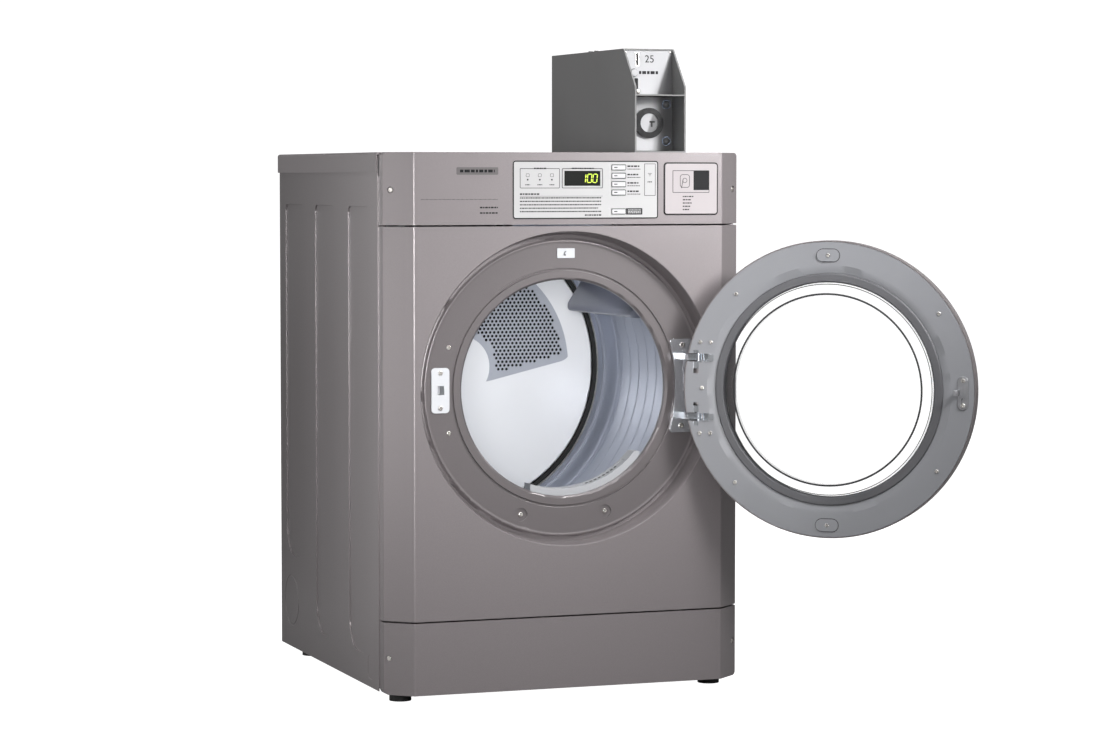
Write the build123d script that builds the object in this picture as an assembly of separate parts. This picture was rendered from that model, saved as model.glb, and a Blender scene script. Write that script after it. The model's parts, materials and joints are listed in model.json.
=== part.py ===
from build123d import *
import math
import os

# Coin-operated front-load tumble dryer, door standing open.
# Millimetres. X runs to the right seen from the front, Y runs to the back, Z up.
# The origin is on the floor, at the centre of the four levelling feet.

# ---------------------------------------------------------------- driving dimensions
CABINET_WIDTH = 686.0
CABINET_TOP = 983.0
FRONT = -361.0
REAR = 361.0
SHEET = 1.2
SIDE_FRONT = -300.0
SIDE_BOTTOM = 19.0
SIDE_TOP = 976.0
CREASE_X = 295.0
CORNER_X = 341.0
CORNER_Y = -321.0
KICK_BOTTOM = 16.6
KICK_TOP = 146.1
PANEL_BOTTOM = 149.1
PANEL_TOP = 850.9
FASCIA_BOTTOM = 853.9
COVER_HALF = 345.0
COVER_BACK = 376.0
COVER_BOTTOM = 947.0

FOOT_X = 300.0
FOOT_Y = 290.0
FOOT_PAD_R = 20.0
FOOT_PAD_H = 14.0
FOOT_STEM_R = 4.9
FOOT_STEM_TOP = 62.0
PAN_Z = 24.0

DOOR_Z = 558.0
LIP_R = 282.0
SEAT_OUT_R = 215.0
OPENING_R = 196.0
RECESS_Y = -331.0
LEDGE_R = 184.0

DRUM_Z = 562.0
DRUM_R = 312.0
DRUM_FRONT = -284.0
DRUM_WALL = 1.0
BULKHEAD_Y = 270.0
BAFFLE_TIP_R = 229.0
BAFFLE_ANGLE = 30.6
BAFFLE_COUNT = 3

HINGE_X = 246.0
HINGE_Y = -369.0
HINGE_ARM_Z = 54.0
DOOR_OPEN = 142.0
LINER_Y = -345.0
LINER_R = 267.5
GLASS_R = 192.0
PIN_R = 3.0
PIN_BORE_R = 3.05

MOTOR_X = -200.0
MOTOR_Z = 110.0
PULLEY_R = 9.0
IDLER_X = -110.0
IDLER_Z = 120.0
IDLER_R = 22.0
BELT_Y = 150.0
BELT_WIDTH = 10.0
BELT_T = 2.0
ROLLER_R = 27.0
ROLLER_ANGLE = 38.0
RUN_GAP = 0.3
DUCT_R = 50.8
DUCT_Z = 85.0

METER_X0 = 140.0
METER_X1 = 240.0
METER_TOP = 1174.0
METER_BACK = 125.0
METER_FRONT = -320.0
METER_BROW_Y = -261.0
METER_BROW_Z = 1103.0
METER_WALL = 3.0
METER_LEDGE_Z = 1089.0
LOCK_X = 188.5
LOCK_Z = 1038.0

nodes = {}


# ---------------------------------------------------------------- shape helpers
def block(x0, x1, y0, y1, z0, z1):
    """A box between two corners."""
    return Pos((x0 + x1) / 2, (y0 + y1) / 2, (z0 + z1) / 2) * Box(x1 - x0, y1 - y0, z1 - z0)


def rod_y(x, z, y0, y1, r):
    """A round bar along Y."""
    return Pos(x, (y0 + y1) / 2, z) * Rot(90, 0, 0) * Cylinder(r, y1 - y0)


def rod_z(x, y, z0, z1, r):
    """A round bar along Z."""
    return Pos(x, y, (z0 + z1) / 2) * Cylinder(r, z1 - z0)


def rod_x(y, z, x0, x1, r):
    """A round bar along X."""
    return Pos((x0 + x1) / 2, y, z) * Rot(0, 90, 0) * Cylinder(r, x1 - x0)


def ring_y(x, z, y0, y1, r_in, r_out):
    """A plain ring about a Y axis."""
    return rod_y(x, z, y0, y1, r_out) - rod_y(x, z, y0 - 1, y1 + 1, r_in)


def plate_y(x, z, width, height, corner, y0, y1):
    """A flat plate with rounded corners, facing Y."""
    sketch = Rectangle(width, height) if corner <= 0 else RectangleRounded(width, height, corner)
    return Pos(x, y0, z) * extrude(Rot(-90, 0, 0) * sketch, amount=y1 - y0)


def turned(points, z):
    """A solid of revolution about the Y axis through height z, from (radius, y) points."""
    outline = make_face(Polyline(*[(max(r, 0.0), y) for r, y in points], close=True))
    return Pos(0, 0, z) * revolve(outline, Axis.Y)


def sheet_line(points, thickness):
    """The closed outline of sheet that follows an open line, laid to the left of its run."""
    path = [Vector(x, y) for x, y in points]
    normals = []
    for a, b in zip(path, path[1:]):
        run = (b - a).normalized()
        normals.append(Vector(-run.Y, run.X))
    inner = [path[0] + normals[0] * thickness]
    for corner, n0, n1 in zip(path[1:], normals, normals[1:]):
        mitre = (n0 + n1).normalized()
        inner.append(corner + mitre * (thickness / mitre.dot(n0)))
    inner.append(path[-1] + normals[-1] * thickness)
    return [(p.X, p.Y) for p in path] + [(p.X, p.Y) for p in reversed(inner)]


def along(point, normal):
    """A placement whose Z runs along a normal."""
    return Location(Plane(origin=point, z_dir=normal))


def group(*solids):
    """Several separate solids kept in one node."""
    return Compound(children=list(solids))


def screw_head(point, normal, r=4.0, rise=1.8):
    """A pan head with a cross recess, standing on a surface."""
    head = Pos(0, 0, rise / 2) * Cylinder(r, rise)
    head = fillet(head.edges().group_by(Axis.Z)[-1], rise * 0.6)
    cross = Box(r * 1.1, r * 0.28, rise) + Box(r * 0.28, r * 1.1, rise)
    return along(point, normal) * (head - Pos(0, 0, rise) * cross)


# ---------------------------------------------------------------- cabinet skins
def front_prism(inset, z0, z1):
    """The plan shape shared by the kick, front and fascia panels, pulled in by inset."""
    slope = math.hypot(CORNER_X - CREASE_X, CORNER_Y - FRONT)
    shift = inset * (slope - (CORNER_Y - FRONT)) / (CORNER_X - CREASE_X)
    crease = CREASE_X - inset * math.tan(math.atan2(CORNER_Y - FRONT, CORNER_X - CREASE_X) / 2)
    corner_y = CORNER_Y + shift
    plan = [(-CORNER_X + inset, SIDE_FRONT), (-CORNER_X + inset, corner_y), (-crease, FRONT + inset)]
    plan += [(-x, y) for x, y in reversed(plan)]
    solid = Pos(0, 0, z0) * extrude(make_face(Polyline(*plan, close=True)), amount=z1 - z0)
    uprights = solid.edges().filter_by(Axis.Z)
    solid = fillet(uprights.filter_by(lambda e: e.center().Y < FRONT + 2), 6 - inset)
    uprights = solid.edges().filter_by(Axis.Z)
    return fillet(uprights.filter_by(lambda e: abs(e.center().Y - corner_y) < 1), 5 - inset)


def rounded_front(inset, z0, z1, corner, top_round, bottom_round):
    """A front prism whose outer corners are rounded seen from the front."""
    low = z0 if bottom_round else z0 - 60
    high = z1 if top_round else z1 + 60
    height = high - low - 2 * inset
    mask = plate_y(0, (low + high) / 2, 2 * (CORNER_X - inset), height, corner - inset, FRONT - 5, -200)
    return front_prism(inset, z0, z1) & mask


def front_shell(z0, z1, corner, top_round, bottom_round):
    """Folded sheet skin with a narrow flange along its edges; a rounded top is closed."""
    skin = rounded_front(0, z0, z1, corner, top_round, bottom_round)
    hollow = rounded_front(SHEET, z0 + SHEET, z1 - SHEET, corner, top_round, bottom_round)
    skin -= hollow
    cut_top = z1 - 20 if top_round else z1 + 1
    return skin - block(-CREASE_X, CREASE_X, FRONT + 22, SIDE_FRONT + 1, z0 - 1, cut_top)


def chamfer_point(x, z):
    """A point on the angled end face, and that face's outward normal."""
    t = (abs(x) - CREASE_X) / (CORNER_X - CREASE_X)
    y = FRONT + t * (CORNER_Y - FRONT)
    side = math.copysign(1, x)
    length = math.hypot(CORNER_Y - FRONT, CORNER_X - CREASE_X)
    normal = (side * (CORNER_Y - FRONT) / length, -(CORNER_X - CREASE_X) / length, 0)
    return (x, y, z), normal


def dimple(part, point, normal, r, depth):
    """A round pocket pressed into sheet, with its wall and floor behind it."""
    place = along(point, normal)
    cup = place * Pos(0, 0, -(depth + SHEET) / 2) * Cylinder(r + SHEET, depth + SHEET)
    return part + cup - place * Pos(0, 0, -depth / 2 + 1) * Cylinder(r, depth + 2)


FASCIA_SCREWS = [(-329.0, 916.0), (328.0, 917.0)]
KICK_SCREWS = [(-333.0, 82.0), (332.0, 81.0)]
RECESS_SCREWS = [(-221.0, 635.0), (-221.0, 481.5)]
RECESS_DIMPLES = [(-84.0, 331.0), (78.0, 332.0)]
DIMPLE_DEPTH = 2.5

kick_panel = front_shell(KICK_BOTTOM, KICK_TOP, 9, False, True)
for x, z in KICK_SCREWS:
    kick_panel = dimple(kick_panel, *chamfer_point(x, z), 6.0, DIMPLE_DEPTH)
nodes["kick_panel"] = kick_panel

OVERLAY_X0, OVERLAY_X1 = -110.0, 168.7
OVERLAY_Z0, OVERLAY_Z1 = 864.0, 968.0
BUTTON_X, BUTTON_W, BUTTON_H = 92.0, 28.4, 10.6
BUTTON_Z = [956.1, 941.1, 926.0, 911.0]
START_Z = 876.9
SCREEN_X, SCREEN_Z, SCREEN_W, SCREEN_H = 22.2, 936.5, 76.0, 34.0
PAD_X, PAD_Z, PAD_W, PAD_H = 233.0, 917.5, 102.0, 91.0

fascia = front_shell(FASCIA_BOTTOM, CABINET_TOP, 9, True, False)
for x, z in FASCIA_SCREWS:
    fascia = dimple(fascia, *chamfer_point(x, z), 6.0, DIMPLE_DEPTH)
for z in BUTTON_Z + [START_Z]:
    fascia -= plate_y(BUTTON_X, z, BUTTON_W + 1, BUTTON_H + 1, 2, FRONT - 2, FRONT + 4)
fascia -= plate_y(SCREEN_X, SCREEN_Z, SCREEN_W - 3, SCREEN_H - 3, 2, FRONT - 2, FRONT + 4)
nodes["control_fascia"] = fascia

# Front panel: flat skin with a round pressed recess that the closed door sits in.
recess_line = [(LIP_R + 3, FRONT), (LIP_R, FRONT + 2.5), (LIP_R - 2, FRONT + 30), (LIP_R - 5, FRONT + 37),
               (LIP_R - 10, FRONT + 37), (LIP_R - 13.5, FRONT + 28), (LIP_R - 17.5, FRONT + 27),
               (LIP_R - 21, RECESS_Y), (SEAT_OUT_R + 2, RECESS_Y), (SEAT_OUT_R + 1, RECESS_Y + 3),
               (SEAT_OUT_R - 2, RECESS_Y + 3), (SEAT_OUT_R - 3, RECESS_Y - 0.6),
               (OPENING_R + 4, RECESS_Y - 0.6), (OPENING_R, RECESS_Y + 4), (OPENING_R, RECESS_Y + 10)]
front_panel = front_shell(PANEL_BOTTOM, PANEL_TOP, 4, False, False)
front_panel -= rod_y(0, DOOR_Z, FRONT - 5, FRONT + 15, LIP_R + 2)
recess = turned(sheet_line(recess_line, -SHEET), DOOR_Z)
for x, z in RECESS_DIMPLES:
    recess = dimple(recess, (x, RECESS_Y, z), (0, -1, 0), 12.0, DIMPLE_DEPTH)
CATCH_X, CATCH_Z, CATCH_W, CATCH_H = -237.0, 558.5, 34.0, 81.0
SWITCH_X, SWITCH_Z, SWITCH_W, SWITCH_H = 1.8, 801.8, 33.6, 17.5
recess -= block(CATCH_X - 8, CATCH_X + 10, RECESS_Y - 5, RECESS_Y + 9, CATCH_Z - 14, CATCH_Z + 14)
recess -= block(SWITCH_X - 9, SWITCH_X + 9, RECESS_Y - 5, RECESS_Y + 9, SWITCH_Z - 6.5, SWITCH_Z + 6.5)
front_panel += recess
nodes["front_panel"] = front_panel

# Side panels with three long pressed ribs, a knock-out ring and a small corner emboss.
RIBS = [(253.0, 200.0), (42.0, 73.0), (-179.0, 75.0)]
RIB_WIDTH, RIB_TOP, RIB_DEPTH = 130.0, 886.0, 2.4


def rib_shape(y, z0, grow, x0, x1):
    """A tall pocket with small corners at its top and wide arcs at its bottom."""
    width = RIB_WIDTH + 2 * grow
    height = RIB_TOP - z0 + 2 * grow
    centre_z = (RIB_TOP + z0) / 2
    body = block(x0, x1, y - width / 2, y + width / 2, centre_z - height / 2, centre_z + height / 2)
    along_x = body.edges().filter_by(Axis.X)
    body = fillet(along_x.group_by(Axis.Z)[0], 52 + grow)
    along_x = body.edges().filter_by(Axis.X)
    return fillet(along_x.group_by(Axis.Z)[-1], 12 + grow)


def side_panel(side):
    """One side skin; side is -1 on the left and 1 on the right."""
    outer = -CABINET_WIDTH / 2
    inner = outer + SHEET
    skin = block(outer, inner, SIDE_FRONT, REAR, SIDE_BOTTOM, SIDE_TOP)
    skin += block(outer, outer + 16, SIDE_FRONT, SIDE_FRONT + SHEET, 30, 940)
    for y, z0 in RIBS:
        skin += rib_shape(y, z0, SHEET, inner - 0.2, inner + RIB_DEPTH)
        skin -= rib_shape(y, z0, 0, outer - 1, outer + RIB_DEPTH)
    ring = rod_x(284, 111, outer - 1, outer + 0.6, 50) - rod_x(284, 111, outer - 2, outer + 2, 47)
    skin -= ring
    emboss = block(outer - 1, outer + 0.6, -262, -232, 34, 76)
    skin -= fillet(emboss.edges().filter_by(Axis.X), 9)
    return skin if side < 0 else mirror(skin, about=Plane.YZ)


nodes["left_side_panel"] = side_panel(-1)
nodes["right_side_panel"] = side_panel(1)

# Rear panel with the exhaust opening and louvres for the air that the heater draws in.
rear_panel = block(-341.4, 341.4, REAR - SHEET, REAR, SIDE_BOTTOM, SIDE_TOP)
rear_panel -= rod_y(0, DUCT_Z, REAR - 5, REAR + 5, DUCT_R + 1.5)
for i in range(8):
    rear_panel -= block(95, 215, REAR - 5, REAR + 5, 160 + 16 * i, 165 + 16 * i)
nodes["rear_panel"] = rear_panel

top_cover = block(-COVER_HALF, COVER_HALF, SIDE_FRONT + 0.5, COVER_BACK, COVER_BOTTOM, CABINET_TOP)
top_cover = fillet(top_cover.edges().filter_by(Axis.Z).group_by(Axis.Y)[-1], 10)
top_cover = fillet(top_cover.edges().filter_by(Axis.Y).group_by(Axis.Z)[-1], 5)
top_cover -= block(-COVER_HALF + SHEET, COVER_HALF - SHEET, SIDE_FRONT - 5, COVER_BACK - SHEET,
                   COVER_BOTTOM - 1, CABINET_TOP - SHEET - 4)
top_cover -= block(-COVER_HALF + 6, COVER_HALF - 6, SIDE_FRONT - 5, COVER_BACK - 6,
                   COVER_BOTTOM - 1, CABINET_TOP - SHEET)
nodes["top_cover"] = top_cover

# Base pan: a tray, with a plate nut over each foot.
PAN_X, PAN_FRONT, PAN_BACK = 340.5, -298.0, 359.0
pan = block(-PAN_X, PAN_X, PAN_FRONT, PAN_BACK, PAN_Z, PAN_Z + 24)
pan -= block(-PAN_X + SHEET, PAN_X - SHEET, PAN_FRONT + SHEET, PAN_BACK - SHEET, PAN_Z + SHEET, PAN_Z + 30)
foot_places = [(sx * FOOT_X, sy * FOOT_Y) for sy in (-1, 1) for sx in (-1, 1)]
for x, y in foot_places:
    inward = -8 if y < 0 else 8
    y0, y1 = sorted((y + inward, y - 3 * inward))
    pan += block(x - 22, x + 22, y0, y1, PAN_Z, PAN_Z + 12)
for x, y in foot_places:
    pan -= rod_z(x, y, PAN_Z - 1, PAN_Z + 13, FOOT_STEM_R + 0.05)
pan -= rod_y(0, DUCT_Z, PAN_BACK - 5, PAN_BACK + 5, DUCT_R + 1.5)
nodes["base_pan"] = pan

FOOT_NAMES = ["foot_front_left", "foot_front_right", "foot_rear_left", "foot_rear_right"]
for name, (x, y) in zip(FOOT_NAMES, foot_places):
    pad = rod_z(x, y, 0, FOOT_PAD_H, FOOT_PAD_R)
    nut = Pos(x, y, FOOT_PAD_H) * extrude(RegularPolygon(9, 6), amount=6)
    nodes[name] = pad + nut + rod_z(x, y, FOOT_PAD_H, FOOT_STEM_TOP, FOOT_STEM_R)

# ---------------------------------------------------------------- controls
overlay_cx = (OVERLAY_X0 + OVERLAY_X1) / 2
overlay_cz = (OVERLAY_Z0 + OVERLAY_Z1) / 2
overlay = plate_y(overlay_cx, overlay_cz, OVERLAY_X1 - OVERLAY_X0, OVERLAY_Z1 - OVERLAY_Z0, 5,
                  FRONT - 0.8, FRONT)
for z in BUTTON_Z + [START_Z]:
    overlay -= plate_y(BUTTON_X, z, BUTTON_W + 0.8, BUTTON_H + 0.8, 2, FRONT - 2, FRONT + 2)
overlay -= plate_y(SCREEN_X, SCREEN_Z, SCREEN_W, SCREEN_H, 2, FRONT - 2, FRONT + 2)
nodes["control_overlay"] = overlay
nodes["display_window"] = (plate_y(SCREEN_X, SCREEN_Z, SCREEN_W - 0.6, SCREEN_H - 0.6, 2, FRONT - 0.8, FRONT)
                           + plate_y(SCREEN_X, SCREEN_Z, SCREEN_W - 5, SCREEN_H - 5, 1.5, FRONT - 0.2, FRONT + 5))
nodes["instruction_pad"] = plate_y(PAD_X, PAD_Z, PAD_W, PAD_H, 5, FRONT - 2, FRONT)

BUTTON_TRAVEL = 1.5


def button(z):
    """A short push button with its stem behind it."""
    cap = plate_y(BUTTON_X, z, BUTTON_W, BUTTON_H, 2, FRONT - 2.0, FRONT + 3)
    return cap + rod_y(BUTTON_X, z, FRONT + 3, FRONT + 6.5, 2.5)


for number, z in enumerate(BUTTON_Z, start=1):
    nodes[f"heat_button_{number}"] = button(z)
nodes["start_button"] = button(START_Z)

board = block(OVERLAY_X0 + 8, OVERLAY_X1 - 8, -352, -350.4, OVERLAY_Z0 + 6, OVERLAY_Z1 - 4)
board += block(-80, 30, -350.6, -330, 875, 905)
board += block(-90, -50, -350.6, -338, 925, 955)
board += rod_y(60, 890, -350.6, -325, 9)
nodes["control_board"] = board

# ---------------------------------------------------------------- door catch, door switch, hinge bracket
CATCH_FACE = RECESS_Y - 2.5
catch = plate_y(CATCH_X, CATCH_Z, CATCH_W, CATCH_H, 7, CATCH_FACE, RECESS_Y)
catch += block(CATCH_X - 7, CATCH_X + 9, RECESS_Y - 1, RECESS_Y + 26, CATCH_Z - 13, CATCH_Z + 13)
catch -= block(CATCH_X - 5, CATCH_X + 7, CATCH_FACE - 1, RECESS_Y + 23, CATCH_Z - 8, CATCH_Z + 8)
nodes["door_catch"] = catch

switch = plate_y(SWITCH_X, SWITCH_Z, SWITCH_W, SWITCH_H, 1.5, RECESS_Y - 1.5, RECESS_Y)
switch += block(SWITCH_X - 8, SWITCH_X + 8, RECESS_Y - 1, RECESS_Y + 17, SWITCH_Z - 5.5, SWITCH_Z + 5.5)
switch -= rod_y(SWITCH_X, SWITCH_Z, RECESS_Y - 3, RECESS_Y + 15, 3.5)
nodes["door_switch"] = switch
nodes["switch_plunger"] = rod_y(SWITCH_X, SWITCH_Z, RECESS_Y - 5.5, RECESS_Y + 9, 3.2)

BRACKET_T = 3.0
BRACKET_Y = RECESS_Y - BRACKET_T
BRACKET_X0, BRACKET_X1, BRACKET_Z0, BRACKET_Z1 = 205.0, 246.0, 472.0, 643.0
bracket = block(BRACKET_X0, BRACKET_X1, BRACKET_Y, RECESS_Y, BRACKET_Z0, BRACKET_Z1)
bracket = fillet(bracket.edges().filter_by(Axis.Y), 4)
waist_r = 320.0
for side, edge in ((-1, BRACKET_X0 + 10), (1, BRACKET_X1 - 9)):
    bracket -= rod_y(edge + side * waist_r, DOOR_Z, BRACKET_Y - 1, RECESS_Y + 1, waist_r)
ARM_HALF = 5.75
ARM_X = 225.0
for z in (DOOR_Z - HINGE_ARM_Z, DOOR_Z + HINGE_ARM_Z):
    neck = block(ARM_X - 3, ARM_X + 3, HINGE_Y - 5, BRACKET_Y + 1, z - ARM_HALF, z + ARM_HALF)
    reach = block(ARM_X - 3, HINGE_X, HINGE_Y - 5, HINGE_Y + 2, z - ARM_HALF, z + ARM_HALF)
    arm = neck + reach + rod_z(HINGE_X, HINGE_Y, z - ARM_HALF, z + ARM_HALF, 6)
    bracket += arm + rod_z(HINGE_X, HINGE_Y, z - 19, z + 19, PIN_R)
nodes["hinge_bracket"] = bracket

BRACKET_SCREWS = [(228.0, 632.0), (226.0, 484.0)]
CATCH_SCREWS = [(CATCH_X, CATCH_Z + 31.5), (CATCH_X, CATCH_Z - 31.5)]
heads = []
for x, z in FASCIA_SCREWS + KICK_SCREWS:
    point, normal = chamfer_point(x, z)
    floor = tuple(p - DIMPLE_DEPTH * n for p, n in zip(point, normal))
    heads.append(screw_head(floor, normal, 4.6, 2.2))
for x, z in RECESS_SCREWS:
    heads.append(screw_head((x, RECESS_Y, z), (0, -1, 0)))
for x, z in RECESS_DIMPLES:
    heads.append(screw_head((x, RECESS_Y + DIMPLE_DEPTH, z), (0, -1, 0), 4.2, 2.0))
for x, z in BRACKET_SCREWS:
    heads.append(screw_head((x, BRACKET_Y, z), (0, -1, 0), 5.0, 2.0))
for x, z in CATCH_SCREWS:
    heads.append(screw_head((x, CATCH_FACE, z), (0, -1, 0), 4.2, 1.6))
nodes["panel_screws"] = group(*heads)

# ---------------------------------------------------------------- drum space
SHELF_FRONT = -319.5
SEAL_FRONT = -302.0
bulkhead = block(-338, 338, SHELF_FRONT, SHELF_FRONT + SHEET, 215, PANEL_TOP - 4)
bulkhead -= rod_y(0, DOOR_Z, SHELF_FRONT - 1, SHELF_FRONT + 3, OPENING_R)
bulkhead -= block(CATCH_X - 9, CATCH_X + 11, SHELF_FRONT - 1, SHELF_FRONT + 3, CATCH_Z - 15, CATCH_Z + 15)
bulkhead -= block(SWITCH_X - 10, SWITCH_X + 10, SHELF_FRONT - 1, SHELF_FRONT + 3, SWITCH_Z - 8, SWITCH_Z + 8)
collar_r = DRUM_R - 6
bulkhead += ring_y(0, DRUM_Z, SHELF_FRONT, -268, collar_r - SHEET, collar_r)
ledge = ring_y(0, DOOR_Z, SHELF_FRONT, -287, LEDGE_R, OPENING_R + 3)
ledge &= block(-62, 150, SHELF_FRONT, -287, 330, DOOR_Z - 120)
bulkhead += ledge
FILTER_X0, FILTER_X1, FILTER_Y0, FILTER_Y1 = 46.0, 124.0, -311.0, -297.0
bulkhead -= block(FILTER_X0 - 1, FILTER_X1 + 1, FILTER_Y0 - 1, FILTER_Y1 + 1, 330, 460)
chute = block(FILTER_X0 - 5, FILTER_X1 + 5, SHELF_FRONT + SHEET, -291, 292, 360)
chute -= block(FILTER_X0 - 2, FILTER_X1 + 2, FILTER_Y0 - 2, FILTER_Y1 + 2, 250, 400)
bulkhead += chute
nodes["front_bulkhead"] = bulkhead

lint_filter = block(FILTER_X0, FILTER_X1, FILTER_Y0, FILTER_Y1, 296, 450)
lint_filter -= block(FILTER_X0 + 5, FILTER_X1 - 5, FILTER_Y0 - 1, FILTER_Y1 - 2, 302, 364)
lint_filter -= rod_y(0, DOOR_Z, FILTER_Y0 - 1, FILTER_Y1 + 1, LEDGE_R + 0.5)
GRILLE_HOLES = 8
for i in range(GRILLE_HOLES):
    angle = math.radians(286.5 + 19.5 * i / (GRILLE_HOLES - 1))
    x, z = LEDGE_R * math.cos(angle), LEDGE_R * math.sin(angle)
    lint_filter -= Pos(x, -304, DOOR_Z + z) * Rot(0, 270 - math.degrees(angle), 0) * Box(5, 6, 14)
nodes["lint_filter"] = lint_filter

GLIDE_Y0, GLIDE_Y1 = -283.0, -270.0
front_seal = ring_y(0, DRUM_Z, GLIDE_Y0, GLIDE_Y1, collar_r, DRUM_R - 0.6)
rear_seal = ring_y(0, DRUM_Z, 265, BULKHEAD_Y + 28, 281.5, 289)
nodes["drum_seals"] = group(front_seal, rear_seal)

drum_line = [(DRUM_R, DRUM_FRONT), (DRUM_R, 200), (310, 208), (303, 216), (295, 226), (292, 236),
             (294, 245), (298, 251), (297, 256), (291, 262)]
drum = turned(sheet_line(drum_line, -DRUM_WALL), DRUM_Z)
nodes["drum"] = drum


def baffle(angle):
    """A hollow-looking lifter: a rounded wedge with sloping ends."""
    root = DRUM_R - 3.2
    wedge = [(root, -43), (BAFFLE_TIP_R + 6, -9), (BAFFLE_TIP_R, -3), (BAFFLE_TIP_R, 3),
             (BAFFLE_TIP_R + 6, 9), (root, 43)]
    body = extrude(Rot(90, 0, 0) * make_face(Polyline(*wedge, close=True)), amount=440 / 2, both=True)
    side = [(root, -205), (BAFFLE_TIP_R + 14, -182), (BAFFLE_TIP_R, -148), (BAFFLE_TIP_R, 186),
            (BAFFLE_TIP_R + 8, 192), (root, 198)]
    cutter = extrude(make_face(Polyline(*side, close=True)), amount=60, both=True)
    return Pos(0, 0, DRUM_Z) * Rot(0, -angle, 0) * (body & cutter)


nodes["drum_baffles"] = group(*[baffle(BAFFLE_ANGLE + 360 / BAFFLE_COUNT * i) for i in range(BAFFLE_COUNT)])

BACK_SHEET_Y = BULKHEAD_Y + 30
HUB_R = 62.0
GRILLE_R = 228.0
rear_bulkhead = block(-338, 338, BACK_SHEET_Y, BACK_SHEET_Y + SHEET, 148, 900)
rear_bulkhead -= rod_y(0, DRUM_Z, BACK_SHEET_Y - 2, BACK_SHEET_Y + 4, 279)
plateau_line = [(0, BULKHEAD_Y), (236, BULKHEAD_Y), (246, BULKHEAD_Y - 5), (275, BULKHEAD_Y - 5),
                (280, BULKHEAD_Y), (280, BACK_SHEET_Y + SHEET)]
plateau = sheet_line(plateau_line, SHEET)
rear_bulkhead += turned(plateau, DRUM_Z)


def grille_shape(y0, y1, inset):
    """The air inlet's outline: a wide sector with one slanted edge, pulled in by inset."""
    sector = ring_y(0, DRUM_Z, y0, y1, HUB_R + inset, GRILLE_R - inset)
    low = Pos(0, 0, 519 + inset) * Rot(0, -13.4, 0) * block(-400, 400, y0 - 1, y1 + 1, -400, 0)
    left = Pos(-40 + inset, 0, DRUM_Z) * Rot(0, -10, 0) * block(-400, 0, y0 - 1, y1 + 1, -100, 400)
    shape = sector - low - left
    corners = shape.edges().filter_by(Axis.Y)
    return fillet(corners, 20 - inset)


rear_bulkhead -= grille_shape(BULKHEAD_Y - 3, BULKHEAD_Y + 5, 8)
nodes["rear_bulkhead"] = rear_bulkhead

GRILLE_T = 1.8
HOLE_PITCH = 22.0
air_grille = grille_shape(BULKHEAD_Y - GRILLE_T, BULKHEAD_Y, 0)
inner_grille = grille_shape(BULKHEAD_Y - 5, BULKHEAD_Y + 5, 14)
hole_rods = []
for row in range(13):
    for col in range(14):
        x = -60 + HOLE_PITCH * (col + 0.5 * (row % 2))
        z = DRUM_Z - 20 + HOLE_PITCH * 0.866 * row
        if inner_grille.is_inside((x, BULKHEAD_Y, z)):
            hole_rods.append(rod_y(x, z, BULKHEAD_Y - 3, BULKHEAD_Y + 3, 6))
air_grille -= hole_rods
nodes["air_grille"] = air_grille

# ---------------------------------------------------------------- drive
DRUM_OUT_R = DRUM_R + DRUM_WALL
roller_axis_r = DRUM_OUT_R + RUN_GAP + ROLLER_R
for name, sign in (("roller_left", -1), ("roller_right", 1)):
    x = sign * roller_axis_r * math.sin(math.radians(ROLLER_ANGLE))
    z = DRUM_Z - roller_axis_r * math.cos(math.radians(ROLLER_ANGLE))
    wheel = rod_y(x, z, 160, 184, ROLLER_R) - rod_y(x, z, 150, 190, 6.05)
    nodes[name] = wheel
    rear_bulkhead += rod_y(x, z, 158, BACK_SHEET_Y + 0.5, 6)
nodes["rear_bulkhead"] = rear_bulkhead


def belt_loop(grow, width):
    """Material inside a loop that wraps the drum, the motor pulley and the idler."""
    circles = [(0, DRUM_Z, DRUM_OUT_R), (MOTOR_X, MOTOR_Z, PULLEY_R), (IDLER_X, IDLER_Z, IDLER_R)]
    edges = []
    for x, z, r in circles:
        edges += (Pos(x, z) * CenterArc((0, 0), r + grow, 0, 360)).edges()
    outline = make_face(make_hull(edges))
    return Pos(0, BELT_Y + width / 2, 0) * extrude(Rot(90, 0, 0) * outline, amount=width)


belt_loop_out = belt_loop(RUN_GAP + BELT_T, BELT_WIDTH)
nodes["drive_belt"] = belt_loop_out - belt_loop(RUN_GAP, BELT_WIDTH + 4)

motor = rod_y(MOTOR_X, MOTOR_Z, -95, 60, 62)
motor = fillet(motor.edges(), 8)
motor += block(MOTOR_X - 55, MOTOR_X + 55, -80, 45, PAN_Z + SHEET, 62)
motor -= rod_y(MOTOR_X, MOTOR_Z, -120, 90, 6.05)
nodes["motor"] = motor
WHEEL_Y0, WHEEL_Y1, WHEEL_R = -190.0, -150.0, 66.0
shaft = rod_y(MOTOR_X, MOTOR_Z, WHEEL_Y0 + 2, BELT_Y + 16, 6)
shaft += rod_y(MOTOR_X, MOTOR_Z, BELT_Y - 7, BELT_Y + 7, PULLEY_R)
nodes["motor_shaft"] = shaft

wheel = rod_y(MOTOR_X, MOTOR_Z, WHEEL_Y1 - 2, WHEEL_Y1, WHEEL_R)
wheel += ring_y(MOTOR_X, MOTOR_Z, WHEEL_Y0, WHEEL_Y0 + 2, 48, WHEEL_R)
wheel += rod_y(MOTOR_X, MOTOR_Z, WHEEL_Y0, WHEEL_Y1, 13)
VANES = 18
for i in range(VANES):
    wheel += (Pos(MOTOR_X, (WHEEL_Y0 + WHEEL_Y1) / 2, MOTOR_Z) * Rot(0, 360 / VANES * i, 0)
              * Pos(57, 0, 0) * Box(16, WHEEL_Y1 - WHEEL_Y0 - 1, 1.6))
wheel -= rod_y(MOTOR_X, MOTOR_Z, WHEEL_Y0 - 1, WHEEL_Y1 + 1, 6)
nodes["blower_wheel"] = wheel

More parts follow.
